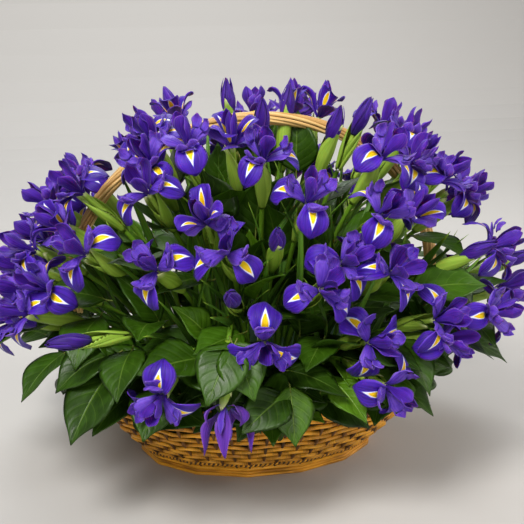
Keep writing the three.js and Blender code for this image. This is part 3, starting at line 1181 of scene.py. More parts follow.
@dataclass
class Dome:
    """The rounded shape on which the flowers lie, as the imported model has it.

    Attributes:
        rim_top: Height of the basket's rim.
        foam_top: Height of the foam.
        half_length: Half length of the dome.
        half_width: Half width of the dome.
        height: Height of the dome over its middle.
        squareness: Power of its outline, with 2 for an ellipse.
        centre_below_rim: How far under the rim its middle lies.
        fan_depth: How far under the foam's top the flowers' axes meet.
        foot_share: How far out a stem enters the foam, as a share of its flower's distance.
        depth_in_foam: How deep a stem goes into the foam.
    """

    rim_top: float
    foam_top: float
    half_length: float = 0.350
    half_width: float = 0.290
    height: float = 0.435
    squareness: float = 2.4
    centre_below_rim: float = 0.0606
    fan_depth: float = 0.008
    foot_share: float = 0.42
    depth_in_foam: float = 0.040

    def half(self) -> np.ndarray:
        """Half length, half width and height."""
        return np.array([self.half_length, self.half_width, self.height])

    def place(self, bearing: float, lean: float, reach: float) -> np.ndarray:
        """The place at a share of the way to the dome in a direction.

        Args:
            bearing: Degrees from the front, with 90 towards +X.
            lean: Degrees from upright.
            reach: Share of the way.

        Returns:
            The place.
        """
        ray = direction(bearing, lean)
        size = np.sum(np.abs(ray / self.half()) ** self.squareness) ** (1 / self.squareness)
        return ray * reach / size + UP * (self.rim_top - self.centre_below_rim)

    def share(self, place: np.ndarray) -> float:
        """How far out a place is, with 1 on the dome."""
        ray = place - UP * (self.rim_top - self.centre_below_rim)
        return float(np.sum(np.abs(ray / self.half()) ** self.squareness) ** (1 / self.squareness))

    def outward(self, place: np.ndarray) -> np.ndarray:
        """The way in which a flower at a place faces."""
        return unit(place - UP * (self.foam_top - self.fan_depth))

    def foot(self, heart: np.ndarray) -> np.ndarray:
        """Where the stem of a flower goes into the foam."""
        return np.array([*(heart[:2] * self.foot_share), self.foam_top - self.depth_in_foam])


@dataclass
class IrisStem:
    """One iris from its foot in the foam to its petals.

    Attributes:
        stage: How far it has opened.
        heart: The place where its petals meet.
        axis: The way in which the flower faces.
        first_fall: The way in which its first fall points.
        foot: Where its stem ends.
        seed: What its chance bends start from.
        tube_low: Where the flower's tube starts along the axis.
        tube_radii: Radius of the tube at its two ends.
        own_tone: How much of a petal's shade is the whole flower's.
        stem_bend: Where the stem's curve is controlled, as a share of its length from the flower.
        blade_from: Least and most steps along the stem at which a blade leaves it.
        blade_lengths: Least and most length of a blade.
        blade_bends: Least and most arch of a blade, as a share of its length.
        blade_widths: Half widths of a blade from foot to tip, in millimetres.
        blade_limit: Share of the dome that a blade's tip stays under.
        blade_channel: How far a blade's edges rise, as a share of its half width.
    """

    stage: Stage
    heart: np.ndarray
    axis: np.ndarray
    first_fall: np.ndarray
    foot: np.ndarray
    seed: int
    blades: int = 2
    stem_radius: float = 0.0032
    sheath_length: float = 0.072
    stem_overlap: float = 0.012
    tube_low: float = -0.040
    tube_radii: tuple = (0.0042, 0.0034)
    own_tone: float = 0.6
    stem_bend: float = 0.5
    blade_from: tuple = (6, 24)
    blade_lengths: tuple = (0.13, 0.23)
    blade_bends: tuple = (0.15, 0.5)
    blade_widths: tuple = (3.2, 4.6, 5.6, 5.4, 4.2, 2.4, 0.25)
    blade_limit: float = 1.02
    blade_channel: float = 0.45
    blade_thickness: float = 0.0006
    blade_rows: int = 15
    blade_columns: int = 7

    def path(self, count: int) -> np.ndarray:
        """The stem's middle line.

        Args:
            count: Places along it.

        Returns:
            The places, from its foot up.
        """
        end = self.heart + self.axis * (self.stem_overlap - self.sheath_length)
        control = end - self.axis * self.stem_bend * np.linalg.norm(end - self.foot)
        return bezier(self.foot, control, end, count)

    def build(self, piece: Piece, dome: Dome) -> None:
        """Adds the whole iris to a piece.

        Args:
            piece: The piece.
            dome: Limits how far the blades reach.
        """
        rng = np.random.default_rng(self.seed)
        basis = np.stack([self.first_fall, np.cross(self.axis, self.first_fall), self.axis])
        head = HEADS[self.stage]
        tone = rng.uniform()
        for form, azimuth, finish in head.rows:
            for third in range(FOLD):
                grid = form.grid(rng, azimuth + third * 360 / FOLD)
                own = tone * self.own_tone + rng.uniform() * (1 - self.own_tone)
                self.put(piece, grid, basis, form.thickness, own, finish)
        for form, turn in ((OUTER_SHEATH, rng.uniform(0, 360)), (INNER_SHEATH, rng.uniform(0, 360))):
            grid = form.grid(rng, turn) + [0, 0, head.sheath_rise]
            self.put(piece, grid, basis, form.thickness, rng.uniform(), SHEATH)
        tube_line = self.heart + self.axis * np.linspace(self.tube_low, head.tube_top * MM, 6)[:, None]
        piece.add(tube(tube_line, np.linspace(*self.tube_radii, 6), 8, rng.uniform()), SHEATH)
        piece.add(tube(self.path(16), self.stem_radius, 8, rng.uniform()), STEM)
        for _ in range(self.blades):
            self.blade(piece, dome, rng)

    def put(self, piece: Piece, grid: np.ndarray, basis: np.ndarray, thickness: float, tone: float,
            finish: Finish) -> None:
        """Adds a petal or sheath, given in the flower's frame in millimetres, to a piece."""
        piece.add(shell(self.heart + (grid * MM) @ basis, thickness * MM, tone), finish)

    def blade(self, piece: Piece, dome: Dome, rng: np.random.Generator) -> None:
        """Adds a long channelled leaf that leaves the stem and arches outwards.

        Args:
            piece: The piece.
            dome: Limits how far it reaches.
            rng: Where its chance length and bend come from.
        """
        path = self.path(41)
        start = int(rng.uniform(*self.blade_from))
        root, along = path[start], unit(path[start + 1] - path[start])
        away = square_to(rng.normal(0, 1, 3) + 0.4 * dome.outward(root), along)
        length = rng.uniform(*self.blade_lengths)
        bend = rng.uniform(*self.blade_bends)
        rows = self.blade_rows
        t = np.linspace(0, 1, rows)
        for _ in range(12):
            line = root + np.outer(t * length, along) + np.outer(t**2 * length * bend, away)
            if dome.share(line[-1]) < self.blade_limit:
                break
            length *= 0.9
        side = np.tile(np.cross(along, away), (rows, 1))
        side = turned_about(side, np.tile(along, (rows, 1)), t * rng.normal(0, 0.5))
        half = smooth_line(self.blade_widths, rows) * MM * rng.uniform(0.85, 1.25)
        across = np.linspace(-1, 1, self.blade_columns)
        lift = self.blade_channel * half[:, None] * np.abs(across) ** 1.4
        grid = ribbon(line, side, half, lift, self.blade_columns)
        piece.add(shell(grid, self.blade_thickness, rng.uniform()), BLADE)


class HeadFinder:
    """Finds where a packed iris's flower is, and how it is turned, from the distances between its tips.

    Each flower is fixed by its tip on the axis and the three tips of its falls, and a bud by its tip and the
    ring of six corners below it.
    """

    # Height of the tip, and distance from the axis and height of the falls' tips, in millimetres
    FORMS = {Stage.OPEN: (52, 45, -7), Stage.HALF: (54, 33, 38), Stage.SPENT: (40, 24, 62)}
    BUD = (50, 8, 32)
    BUD_CORNERS = 6
    STEM_CORNERS = 5
    INSIDE_FOAM = (0, 0, 60)
    SLACK = 0.35

    def __init__(self, node: str) -> None:
        """Reads the node's corners, each once.

        Args:
            node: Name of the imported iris.
        """
        corners = [tuple(round(c / MM, 2) for c in v.co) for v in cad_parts[node].data.vertices]
        self.points = np.array(sorted(set(corners)))
        self.node = node
        self.stage = Stage(node.split("_")[1])

    def foot(self) -> np.ndarray:
        """The middle of the stem's cut end, in metres."""
        far = np.linalg.norm(self.points - self.INSIDE_FOAM, axis=1)
        return self.points[np.argsort(far)[: self.STEM_CORNERS]].mean(0) * MM

    def head(self) -> tuple:
        """Finds the flower.

        Returns:
            The heart in metres, the axis, and the direction of a fall.
        """
        gaps = np.linalg.norm(self.points[:, None] - self.points[None], axis=2)
        if self.stage is Stage.BUD:
            return self.bud(gaps)
        top, out, up = self.FORMS[self.stage]
        reach, spread = math.hypot(out, top - up), out * math.sqrt(3)
        for tip in range(len(self.points)):
            near = np.flatnonzero(np.abs(gaps[tip] - reach) < self.SLACK)
            apart = np.abs(gaps[np.ix_(near, near)] - spread) < self.SLACK
            for i, j in np.argwhere(np.triu(apart)):
                third = np.flatnonzero(apart[i] & apart[j])
                if len(third):
                    ends = self.points[near[[i, j, third[0]]]]
                    middle = ends.mean(0)
                    axis = unit((self.points[tip] - middle) * (1 if top > up else -1))
                    heart = self.points[tip] - axis * top
                    return heart * MM, axis, square_to(ends[0] - middle, axis)
        raise ValueError(f"no flower found in {self.node}")

    def bud(self, gaps: np.ndarray) -> tuple:
        """Finds a closed bud.

        Args:
            gaps: Distance from every corner to every other.

        Returns:
            The heart in metres, the axis, and the direction of a corner.
        """
        top, out, up = self.BUD
        reach = math.hypot(out, top - up)
        for tip in range(len(self.points)):
            ring = self.points[np.abs(gaps[tip] - reach) < self.SLACK]
            arms = ring - ring.mean(0) if len(ring) == self.BUD_CORNERS else None
            if arms is not None and abs(np.linalg.norm(arms, axis=1) - out).max() < self.SLACK:
                axis = unit(self.points[tip] - ring.mean(0))
                return (self.points[tip] - axis * top) * MM, axis, square_to(arms[0], axis)
        raise ValueError(f"no bud found in {self.node}")


# ---- Salal -------------------------------------------------------------------


@dataclass
class SalalLeaf:
    """One broad pointed leaf between its foot and its tip.

    Attributes:
        foot: Where the blade starts.
        tip: Where it ends.
        face: The way in which its upper side faces.
        seed: What its chance bends start from.
        breadth: Its greatest half width, as a share of its length.
        young_below: Length under which it is young and pale.
        outline: Half widths from foot to tip, as shares of the greatest.
        arches: Least and most rise of its middle, as a share of its length.
        folds: Least and most rise of its edges, as a share of its half width.
        wave_height: Height of the waves in its edge, as a share of its length.
    """

    foot: np.ndarray
    tip: np.ndarray
    face: np.ndarray
    seed: int
    breadth: float = 0.36
    young_below: float = 0.0755
    outline: tuple = (0.06, 0.62, 0.94, 1.0, 0.88, 0.62, 0.27, 0.02)
    least_width: float = 0.015
    arches: tuple = (0.03, 0.13)
    folds: tuple = (0.08, 0.28)
    wave_height: float = 0.035
    thickness: float = 0.0007
    stalk_length: float = 0.008
    stalk_radius: float = 0.0011
    rows: int = 17
    columns: int = 11

    def build(self, piece: Piece) -> None:
        """Adds the leaf and its short stalk to a piece.

        Args:
            piece: The piece.
        """
        rng = np.random.default_rng(self.seed)
        length = float(np.linalg.norm(self.tip - self.foot))
        along = unit(self.tip - self.foot)
        face = square_to(self.face, along)
        t = np.linspace(0, 1, self.rows)
        arch = rng.uniform(*self.arches) * length
        line = self.foot + np.outer(t * length, along) + np.outer(np.sin(math.pi * t**0.9) * arch, face)
        side = np.tile(np.cross(face, along), (self.rows, 1))
        side = turned_about(side, np.tile(along, (self.rows, 1)), t * rng.normal(0, 0.25))
        half = smooth_line(self.outline, self.rows).clip(self.least_width)
        half = half * self.breadth * length * rng.uniform(0.9, 1.1)
        across = np.linspace(-1, 1, self.columns)
        lift = rng.uniform(*self.folds) * half[:, None] * np.abs(across) ** 1.5
        phase = rng.uniform(0, 2 * math.pi, 2)
        wave = np.sin(t[:, None] * rng.uniform(7, 10) + np.where(across < 0, phase[0], phase[1]))
        wave = wave * np.abs(across) ** 2 * np.sin(math.pi * t)[:, None]
        lift = lift + wave * self.wave_height * length
        finish = SALAL_PALE if length < self.young_below else SALAL
        grid = ribbon(line, -side, half, -lift, self.columns)
        piece.add(shell(grid, self.thickness, rng.uniform()), finish)
        stalk = np.stack([self.foot - along * self.stalk_length, self.foot, line[2]])
        piece.add(tube(smooth_line(stalk, 6), self.stalk_radius, 6, rng.uniform()), TWIG)


@dataclass
class SalalSprig:
    """A packed sprig: a twig with an end leaf and two side leaves.

    Attributes:
        node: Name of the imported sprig.
        seed: What its chance bends start from.
        leaf_length: Length of the end leaf.
        leaf_lean: How far the end leaf leans from upright, in degrees.
        side_leaf_at: Where the side leaves grow, as a share of the twig.
        twig_radii: Radius of the twig at its two ends.
        twig_steps: Places along the twig.
    """

    node: str
    seed: int
    leaf_length: float = 0.084
    leaf_lean: float = 112.0
    side_leaf_at: float = 0.62
    twig_radii: tuple = (0.0022, 0.0014)
    twig_steps: int = 18

    def build(self) -> None:
        """Makes the sprig's piece."""
        points = np.array([v.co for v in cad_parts[self.node].data.vertices])
        near = np.argsort(np.linalg.norm(points[:, :2], axis=1))[:5]
        foot = points[near].mean(0)
        tip = points[np.argmax(np.linalg.norm(points - foot, axis=1))]
        bearing = math.degrees(math.atan2(tip[0], -tip[1]))
        along = direction(bearing, self.leaf_lean)
        joint = tip - along * self.leaf_length
        control = joint - along * 0.5 * np.linalg.norm(joint - foot)
        twig = bezier(foot, control, joint, self.twig_steps)
        piece = Piece(self.node + "_leaves", "salal_leaf", (self.node,))
        piece.add(tube(twig, np.linspace(*self.twig_radii, self.twig_steps), 7, 0.5), TWIG)
        SalalLeaf(joint, tip, direction(bearing, self.leaf_lean - 90), self.seed).build(piece)
        fork = twig[round(self.side_leaf_at * (self.twig_steps - 1))]
        across = direction(bearing + 90, 90)
        for turn in (-1, 1):
            end = points[np.argmax((points - foot) @ across * turn)]
            SalalLeaf(fork, end, UP + 0.5 * along, self.seed + turn).build(piece)
        piece.make()


@dataclass
class LooseLeaves:
    """Further salal leaves that show between the flowers and fill the depth under them.

    Each front leaf is listed one by one: bearing and lean of its middle, share of the dome, the bearing and
    lean in which its tip points, and its length in millimetres.
    """

    dome: Dome
    front: tuple = (
        (-50, 74, 0.97, -46, 132, 104), (-56, 68, 0.9, -82, 118, 90), (-33, 62, 0.93, -70, 92, 92),
        (-25, 63, 0.9, 20, 112, 84), (-20, 65, 0.96, -10, 140, 82), (-10, 71, 0.99, -60, 112, 80),
        (-3, 72, 0.97, 2, 158, 74), (4, 65, 0.94, 60, 108, 84), (5, 58, 0.88, -30, 100, 80),
        (12, 58, 0.9, 14, 62, 88), (24, 62, 0.95, 60, 112, 86), (30, 66, 0.95, 34, 138, 82),
        (12, 70, 0.95, 30, 122, 75), (25, 70, 0.93, -10, 116, 75), (46, 54, 0.94, 88, 86, 104),
        (42, 43, 0.84, 30, 55, 96), (29, 50, 0.86, 50, 78, 84), (13, 42, 0.8, -14, 62, 92),
        (-27, 34, 0.82, -40, 30, 92), (-50, 45, 0.86, -70, 62, 84), (-66, 54, 0.9, -96, 80, 84),
        (-80, 68, 0.98, -92, 112, 82), (-66, 72, 0.96, -60, 126, 84), (50, 67, 0.93, 60, 112, 80),
        (70, 60, 0.93, 96, 84, 84), (-42, 56, 0.88, -20, 84, 86), (-14, 50, 0.84, -24, 66, 84),
        (-2, 49, 0.84, 30, 76, 80), (36, 34, 0.8, 60, 40, 88), (-12, 34, 0.78, 10, 36, 88),
        (18, 28, 0.78, 30, 24, 84), (52, 64, 0.96, 40, 124, 76), (-36, 73, 0.95, -30, 120, 80),
        (-22, 56, 0.92, -60, 96, 78), (-44, 66, 0.93, -20, 116, 86), (38, 60, 0.93, 20, 106, 75),
        (-36, 26, 0.84, -40, 14, 98), (-10, 22, 0.8, 10, 20, 92), (8, 18, 0.78, 20, 30, 92),
        (32, 21, 0.8, 50, 8, 90), (52, 30, 0.86, 70, 60, 86), (-60, 32, 0.84, -50, 50, 92),
        (-26, 24, 0.8, -10, 40, 90), (40, 40, 0.84, 10, 90, 86), (62, 46, 0.86, 40, 100, 88),
        (-20, 63, 1.02, -45, 135, 84), (-15, 62, 1.01, 20, 138, 78), (-36, 44, 0.82, -60, 90, 88),
        (-60, 62, 0.86, -30, 120, 88), (58, 56, 0.86, 30, 120, 86),
    )
    fill_count: int = 190
    fill_depth: float = 0.92
    low_from: float = 62.0
    fill_lengths: tuple = (0.070, 0.096)
    skirt_count: int = 60
    skirt_lengths: tuple = (0.080, 0.100)
    face_lift: float = 25.0

    def build(self) -> None:
        """Makes the leaf pieces, by quarters of the arrangement."""
        piece = Piece("front_salal_leaves", "salal_leaf")
        for number, (bearing, lean, reach, to_bearing, to_lean, length) in enumerate(self.front):
            self.put(piece, bearing, lean, reach, to_bearing, to_lean, length * MM, 700 + number)
        piece.make()
        quarters = [Piece(f"inner_salal_leaves_{n}", "salal_leaf") for n in (1, 2, 3, 4)]
        rng = np.random.default_rng(31)
        self.fill(quarters, rng)
        self.skirt(quarters, rng)
        for own in quarters:
            own.make()

    def fill(self, quarters: list, rng: np.random.Generator) -> None:
        """Adds leaves spread evenly through the depth of the arrangement.

        Args:
            quarters: The pieces, by quarter turn from the back.
            rng: Where their chance places come from.
        """
        for number in range(self.fill_count):
            bearing = (number * GOLDEN_TURN) % 360 - 180
            lean = math.degrees(math.acos(1 - self.fill_depth * (number + 0.5) / self.fill_count))
            low = lean > self.low_from
            reach = rng.uniform(0.9, 0.97) if low and abs(bearing) > 100 else rng.uniform(0.5, 0.86)
            to_lean = lean + rng.uniform(0, 40) if low else lean + rng.uniform(-25, 45)
            length = rng.uniform(*self.fill_lengths)
            to_bearing = bearing + rng.uniform(-60, 60)
            own = quarters[int((bearing + 180) // 90) % 4]
            self.put(own, bearing, min(lean, 76), reach, to_bearing, to_lean, length, 900 + number)

    def skirt(self, quarters: list, rng: np.random.Generator) -> None:
        """Adds leaves under the flowers all round the rim.

        Args:
            quarters: The pieces, by quarter turn from the back.
            rng: Where their chance places come from.
        """
        for number in range(self.skirt_count):
            bearing = number * 360 / self.skirt_count - 180 + rng.uniform(-4, 4)
            lean, reach = rng.uniform(62, 76), rng.uniform(0.66, 0.84)
            to_bearing, to_lean = bearing + rng.uniform(-70, 70), rng.uniform(30, 100)
            length = rng.uniform(*self.skirt_lengths)
            own = quarters[int((bearing + 180) // 90) % 4]
            self.put(own, bearing, lean, reach, to_bearing, to_lean, length, 1200 + number)

    def put(self, piece: Piece, bearing: float, lean: float, reach: float, to_bearing: float, to_lean: float,
            length: float, seed: int) -> None:
        """Adds a leaf by the place of its middle and the way in which it points.

        Args:
            piece: The piece.
            bearing: Bearing of its middle.
            lean: Lean of its middle.
            reach: Share of the dome at which its middle lies.
            to_bearing: Bearing in which its tip points.
            to_lean: Lean in which its tip points.
            length: Its length.
            seed: What its chance bends start from.
        """
        middle = self.dome.place(bearing, lean, reach)
        along = direction(to_bearing, to_lean)
        face = direction(bearing, max(lean - self.face_lift, 0)) + 0.2 * UP
        SalalLeaf(middle - along * length / 2, middle + along * length / 2, face, seed).build(piece)


# ---- Basket ------------------------------------------------------------------


@dataclass
class BasketWork:
    """The willow work: base, foot, waling, side weave, plaited rim and handle.

    Every height has an oval whose half width is its half length less the width inset, slightly flattened
    between its corners. A wave is a height in metres and how often it comes in one turn.

    Attributes:
        corners: Corners of the oval.
        flatness: How flat it is between them, with 1 for straight.
        base_rod: Radius of the base's rods.
        base_pitch: From one turn of the base to the next.
        base_stick: Radius of the sticks under them.
        base_span: How far from the middle the last stick lies.
        foot_wave: Wave in the foot's rods.
        stakes: Upright stakes of the side.
        stake: Radius of a stake.
        rod: Radius of a woven rod.
        row_pitch: Least height from one row of the side to the next.
        sway: How far a woven rod goes out in front of a stake and in behind the next.
        rise: How far it goes up and down between them, which leaves the long slits.
        painted_shadow: How much painted shade darkens a woven rod where it goes in behind a stake.
        wall_inset: From the wall's outside to its middle.
        rope_rod: Radius of the waling's two rods.
        rope_turns: Turns of the waling in one turn of the basket.
        plaits: Turns of the rim's plait.
        plait_rod: Radius of the plait's rods.
        rim_rod: Radius of the two rods inside the plait.
        handle_strands: Thin rods of the handle.
        handle_rod: Radius of a thin rod.
        handle_core: Radius of the rod inside them.
        handle_out: From the handle's middle to that of a thin rod.
        handle_turns: Turns of the thin rods along the handle.
    """

    corners: int = 14
    flatness: float = 0.85
    base_rod: float = 0.0026
    base_pitch: float = 0.0066
    base_stick: float = 0.0034
    base_span: float = 0.12
    foot_wave: tuple = (0.0006, 7)
    stakes: int = 60
    stake: float = 0.0022
    rod: float = 0.0029
    row_pitch: float = 0.0092
    sway: float = 0.0022
    rise: float = 0.0023
    painted_shadow: float = 0.65
    wall_inset: float = 0.004
    rope_rod: float = 0.0018
    rope_turns: int = 170
    plaits: int = 17
    plait_rod: float = 0.0029
    rim_rod: float = 0.0040
    handle_strands: int = 9
    handle_rod: float = 0.0025
    handle_core: float = 0.0052
    handle_out: float = 0.0068
    handle_turns: float = 2.6
    width_inset: float = field(init=False)
    wall: np.ndarray = field(init=False)

    def __post_init__(self) -> None:
        """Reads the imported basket's sizes."""
        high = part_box("rim_border")[1]
        self.width_inset = high.x - high.y
        corners = np.array([v.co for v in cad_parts["side_weave"].data.vertices])
        heights = sorted(set(np.round(corners[:, 2], 4)))
        reach = [corners[np.abs(corners[:, 2] - h) < MM, 0].max() for h in heights]
        self.wall = np.array([heights, reach])

    def ring(self, half_length: object, height: object, count: int, start: float = 0.0) -> np.ndarray:
        """Places round the oval, the first repeated at the end.

        Args:
            half_length: Half length, or one for each place.
            height: Height, or one for each place.
            count: Places in one turn.
            start: Share of a turn at which it starts.

        Returns:
            The places.
        """
        turn = 2 * math.pi * (np.linspace(0, 1, count + 1) + start)
        sector = 2 * math.pi / self.corners
        within = np.mod(turn, sector) - sector / 2
        flat = math.cos(sector / 2) / np.cos(within)
        radius = np.asarray(half_length) * (1 - self.flatness * (1 - flat))
        return np.stack([radius * np.cos(turn), (radius - self.width_inset) * np.sin(turn),
                         np.broadcast_to(height, turn.shape)], axis=1)

    def wall_half(self, height: object) -> np.ndarray:
        """Half length of the middle of the wall at a height."""
        return np.interp(height, *self.wall) - self.wall_inset

    def build(self) -> None:
        """Makes every piece of the basket."""
        self.base()
        self.foot()
        self.side()
        self.rim()
        self.handle()

    def base(self) -> None:
        """Rods laid round and round over nine cross sticks."""
        piece = Piece("woven_base", "willow", ("basket_base",), 1)
        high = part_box("basket_base")[1]
        middle = high.z / 2
        rng = np.random.default_rng(3)
        count = 96
        for half_length in np.arange(high.x - 0.004, self.width_inset + 0.006, -self.base_pitch):
            wave = 0.0012 * np.cos(np.linspace(0, 24 * math.pi, count + 1) + rng.integers(2) * math.pi)
            path = self.ring(half_length, middle + wave, count)
            piece.add(tube(path, self.base_rod, 6, rng.uniform()), WILLOW)
        width = high.x - self.width_inset
        for x in np.linspace(-self.base_span, self.base_span, 9):
            reach = width * math.sqrt(1 - (x / high.x) ** 2) - 0.006
            line = np.array([[x, -reach, middle], [x, 0, middle], [x, reach, middle]])
            piece.add(tube(smooth_line(line, 9), self.base_stick, 7, rng.uniform()), DARK_WILLOW)
        piece.make()

    def foot(self) -> None:
        """Three smooth rods, one on the other, in two rows."""
        piece = Piece("foot_rods", "willow", ("foot_border",), 1)
        rng = np.random.default_rng(5)
        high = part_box("foot_border")[1]
        radius = high.z / 6
        rise, waves = self.foot_wave
        count = 192
        for level in (1, 3, 5):
            for row in (0, 1):
                half = high.x - radius - row * 2 * radius
                wave = rise * np.sin(np.linspace(0, waves * 2 * math.pi, count + 1) + rng.uniform(0, 6))
                path = self.ring(half, radius * level + wave * (level - 1) / 4, count)
                piece.add(tube(path, radius, 10, rng.uniform()), WILLOW)
        piece.make()

    def rope(self, piece: Piece, height: float) -> None:
        """Adds the waling: a dark and a pale rod twisted round each other, all the way round the wall.

        Args:
            piece: The piece.
            height: Height of its middle.
        """
        count = self.rope_turns * 8
        t = np.linspace(0, 1, count + 1)
        out = self.rope_rod * 0.95
        for number, finish in enumerate((DARK_WILLOW, WILLOW)):
            phase = 2 * math.pi * self.rope_turns * t + math.pi * number
            level = height + out * np.sin(phase)
            half = self.wall_half(level) + 0.0015 + out * np.cos(phase)
            piece.add(tube(self.ring(half, level, count), self.rope_rod, 7, 0.3 + 0.4 * number), finish)

    def side(self) -> None:
        """Waling at the foot, upright stakes, and rods woven in front of one and behind the next."""
        piece = Piece("side_weave_rods", "willow", ("side_weave",), 1)
        rng = np.random.default_rng(7)
        bottom, top = self.wall[0][0], self.wall[0][-1]
        lowest = self.ring(self.wall_half(bottom) + 0.0012, bottom + 0.0024, 192)
        piece.add(tube(lowest, 0.0023, 8, 0.6), WILLOW)
        self.rope(piece, bottom + 0.0080)
        first, last = bottom + 0.0135, top - 0.003
        rows = int((last + MM - first) / self.row_pitch) + 1
        for row in range(rows):
            self.side_row(piece, first + row * (last - first) / (rows - 1), row % 2, rng)
        for number in range(self.stakes):
            levels = np.linspace(bottom + MM, top - MM, 9)
            path = np.array([self.ring(self.wall_half(z), z, self.stakes)[number] for z in levels])
            piece.add(tube(path, self.stake, 6, rng.uniform()), DARK_WILLOW)
        piece.make()

    def side_row(self, piece: Piece, height: float, odd: int, rng: np.random.Generator) -> None:
        """Adds one row of the weave, as two rods that meet.

        Args:
            piece: The piece.
            height: Height of its middle.
            odd: 1 where it starts behind a stake, 0 where it starts in front.
            rng: Where its chance waves come from.
        """
        per_stake = 5
        count = self.stakes * per_stake
        t = np.linspace(0, 1, count + 1)
        swing = np.cos(math.pi * self.stakes * t + math.pi * odd)
        level = height + 0.0007 * np.sin(2 * math.pi * (5 * t + rng.uniform())) + self.rise * swing
        out = 0.0006 * np.sin(2 * math.pi * (9 * t + rng.uniform()))
        half = self.wall_half(level) + self.sway * swing + out
        thick = self.rod * (0.96 + 0.08 * np.sin(2 * math.pi * (3 * t + rng.uniform())))
        # Painted shade: the rod's tone drops below 0 where it swings in behind a stake
        painted_shades = np.minimum(swing - 0.2, 0.0) * self.painted_shadow
        whole = self.ring(half, level, count)
        for cut in (slice(0, count // 2 + 1), slice(count // 2, count + 1)):
            tone = rng.uniform(0.25, 1) + painted_shades[cut]
            piece.add(tube(whole[cut], thick[cut], 8, tone, 0.05), WILLOW)

    def rim(self) -> None:
        """Six rods in three pairs, plaited over two dark ones."""
        piece = Piece("rim_plait", "willow", ("rim_border",), 1)
        rng = np.random.default_rng(9)
        low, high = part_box("rim_border")
        middle, half = (low.z + high.z) / 2, high.x - 0.010
        count = self.plaits * 18
        t = np.linspace(0, 1, count + 1)
        for strand in range(3):
            phase = 2 * math.pi * (self.plaits * t + strand / 3)
            for pair in (-1, 1):
                rise = 0.0058 * np.sin(phase) + pair * 0.0020
                out = 0.0034 * np.sin(2 * phase) + pair * 0.0010
                path = self.ring(half + out, middle + rise, count)
                piece.add(tube(path, self.plait_rod, 8, rng.uniform(), 0.05), WILLOW)
        for level in (-self.rim_rod, self.rim_rod):
            path = self.ring(half - 0.0045, middle + level, 96)
            piece.add(tube(path, self.rim_rod, 8, rng.uniform()), DARK_WILLOW)
        piece.make()

    def handle_line(self, count: int) -> np.ndarray:
        """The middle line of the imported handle.

        Args:
            count: Places along it.

        Returns:
            The places, from one end to the other.
        """
        sides = 8
        corners = {tuple(np.round(v.co, 5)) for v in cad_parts["handle"].data.vertices}
        corners = np.array(sorted(corners))
        middle = corners[:, 2].max() / 2
        angle = np.arctan2(corners[:, 0], corners[:, 2] - middle)
        corners = corners[np.argsort(angle)]
        rings = [ring.mean(0) for ring in np.array_split(corners, len(corners) // sides)]
        rings = np.array(rings) * [1, 0, 1]
        softened = rings.copy()
        softened[1:-1] = (rings[:-2] + 2 * rings[1:-1] + rings[2:]) / 4
        return smooth_line(softened, count)

    def handle(self) -> None:
        """Thin rods laid side by side round a core, with a slow twist."""
        piece = Piece("handle_rods", "handle_rods", ("handle",), 1)
        rng = np.random.default_rng(11)
        count = 241
        path = self.handle_line(count)
        tangent = unit(np.gradient(path, axis=0))
        across = np.tile([0.0, 1.0, 0.0], (count, 1))
        other = np.cross(tangent, across)
        t = np.linspace(0, 1, count)
        piece.add(tube(path, self.handle_core, 8, 0.2), DARK_WILLOW)
        for strand in range(self.handle_strands):
            wobble = 0.10 * np.sin(2 * math.pi * (rng.uniform(2, 4) * t + rng.uniform()))
            turn = 2 * math.pi * (strand / self.handle_strands + self.handle_turns * t) + wobble
            out = self.handle_out + 0.0003 * np.sin(2 * math.pi * (rng.uniform(3, 6) * t + rng.uniform()))
            line = path + out[:, None] * (across * np.cos(turn)[:, None] + other * np.sin(turn)[:, None])
            radius = self.handle_rod * rng.uniform(0.92, 1.08)
            piece.add(tube(line, radius, 8, rng.uniform(), 0.05), HANDLE_ROD)
        piece.make()


# ---- The whole arrangement -----------------------------------------------------


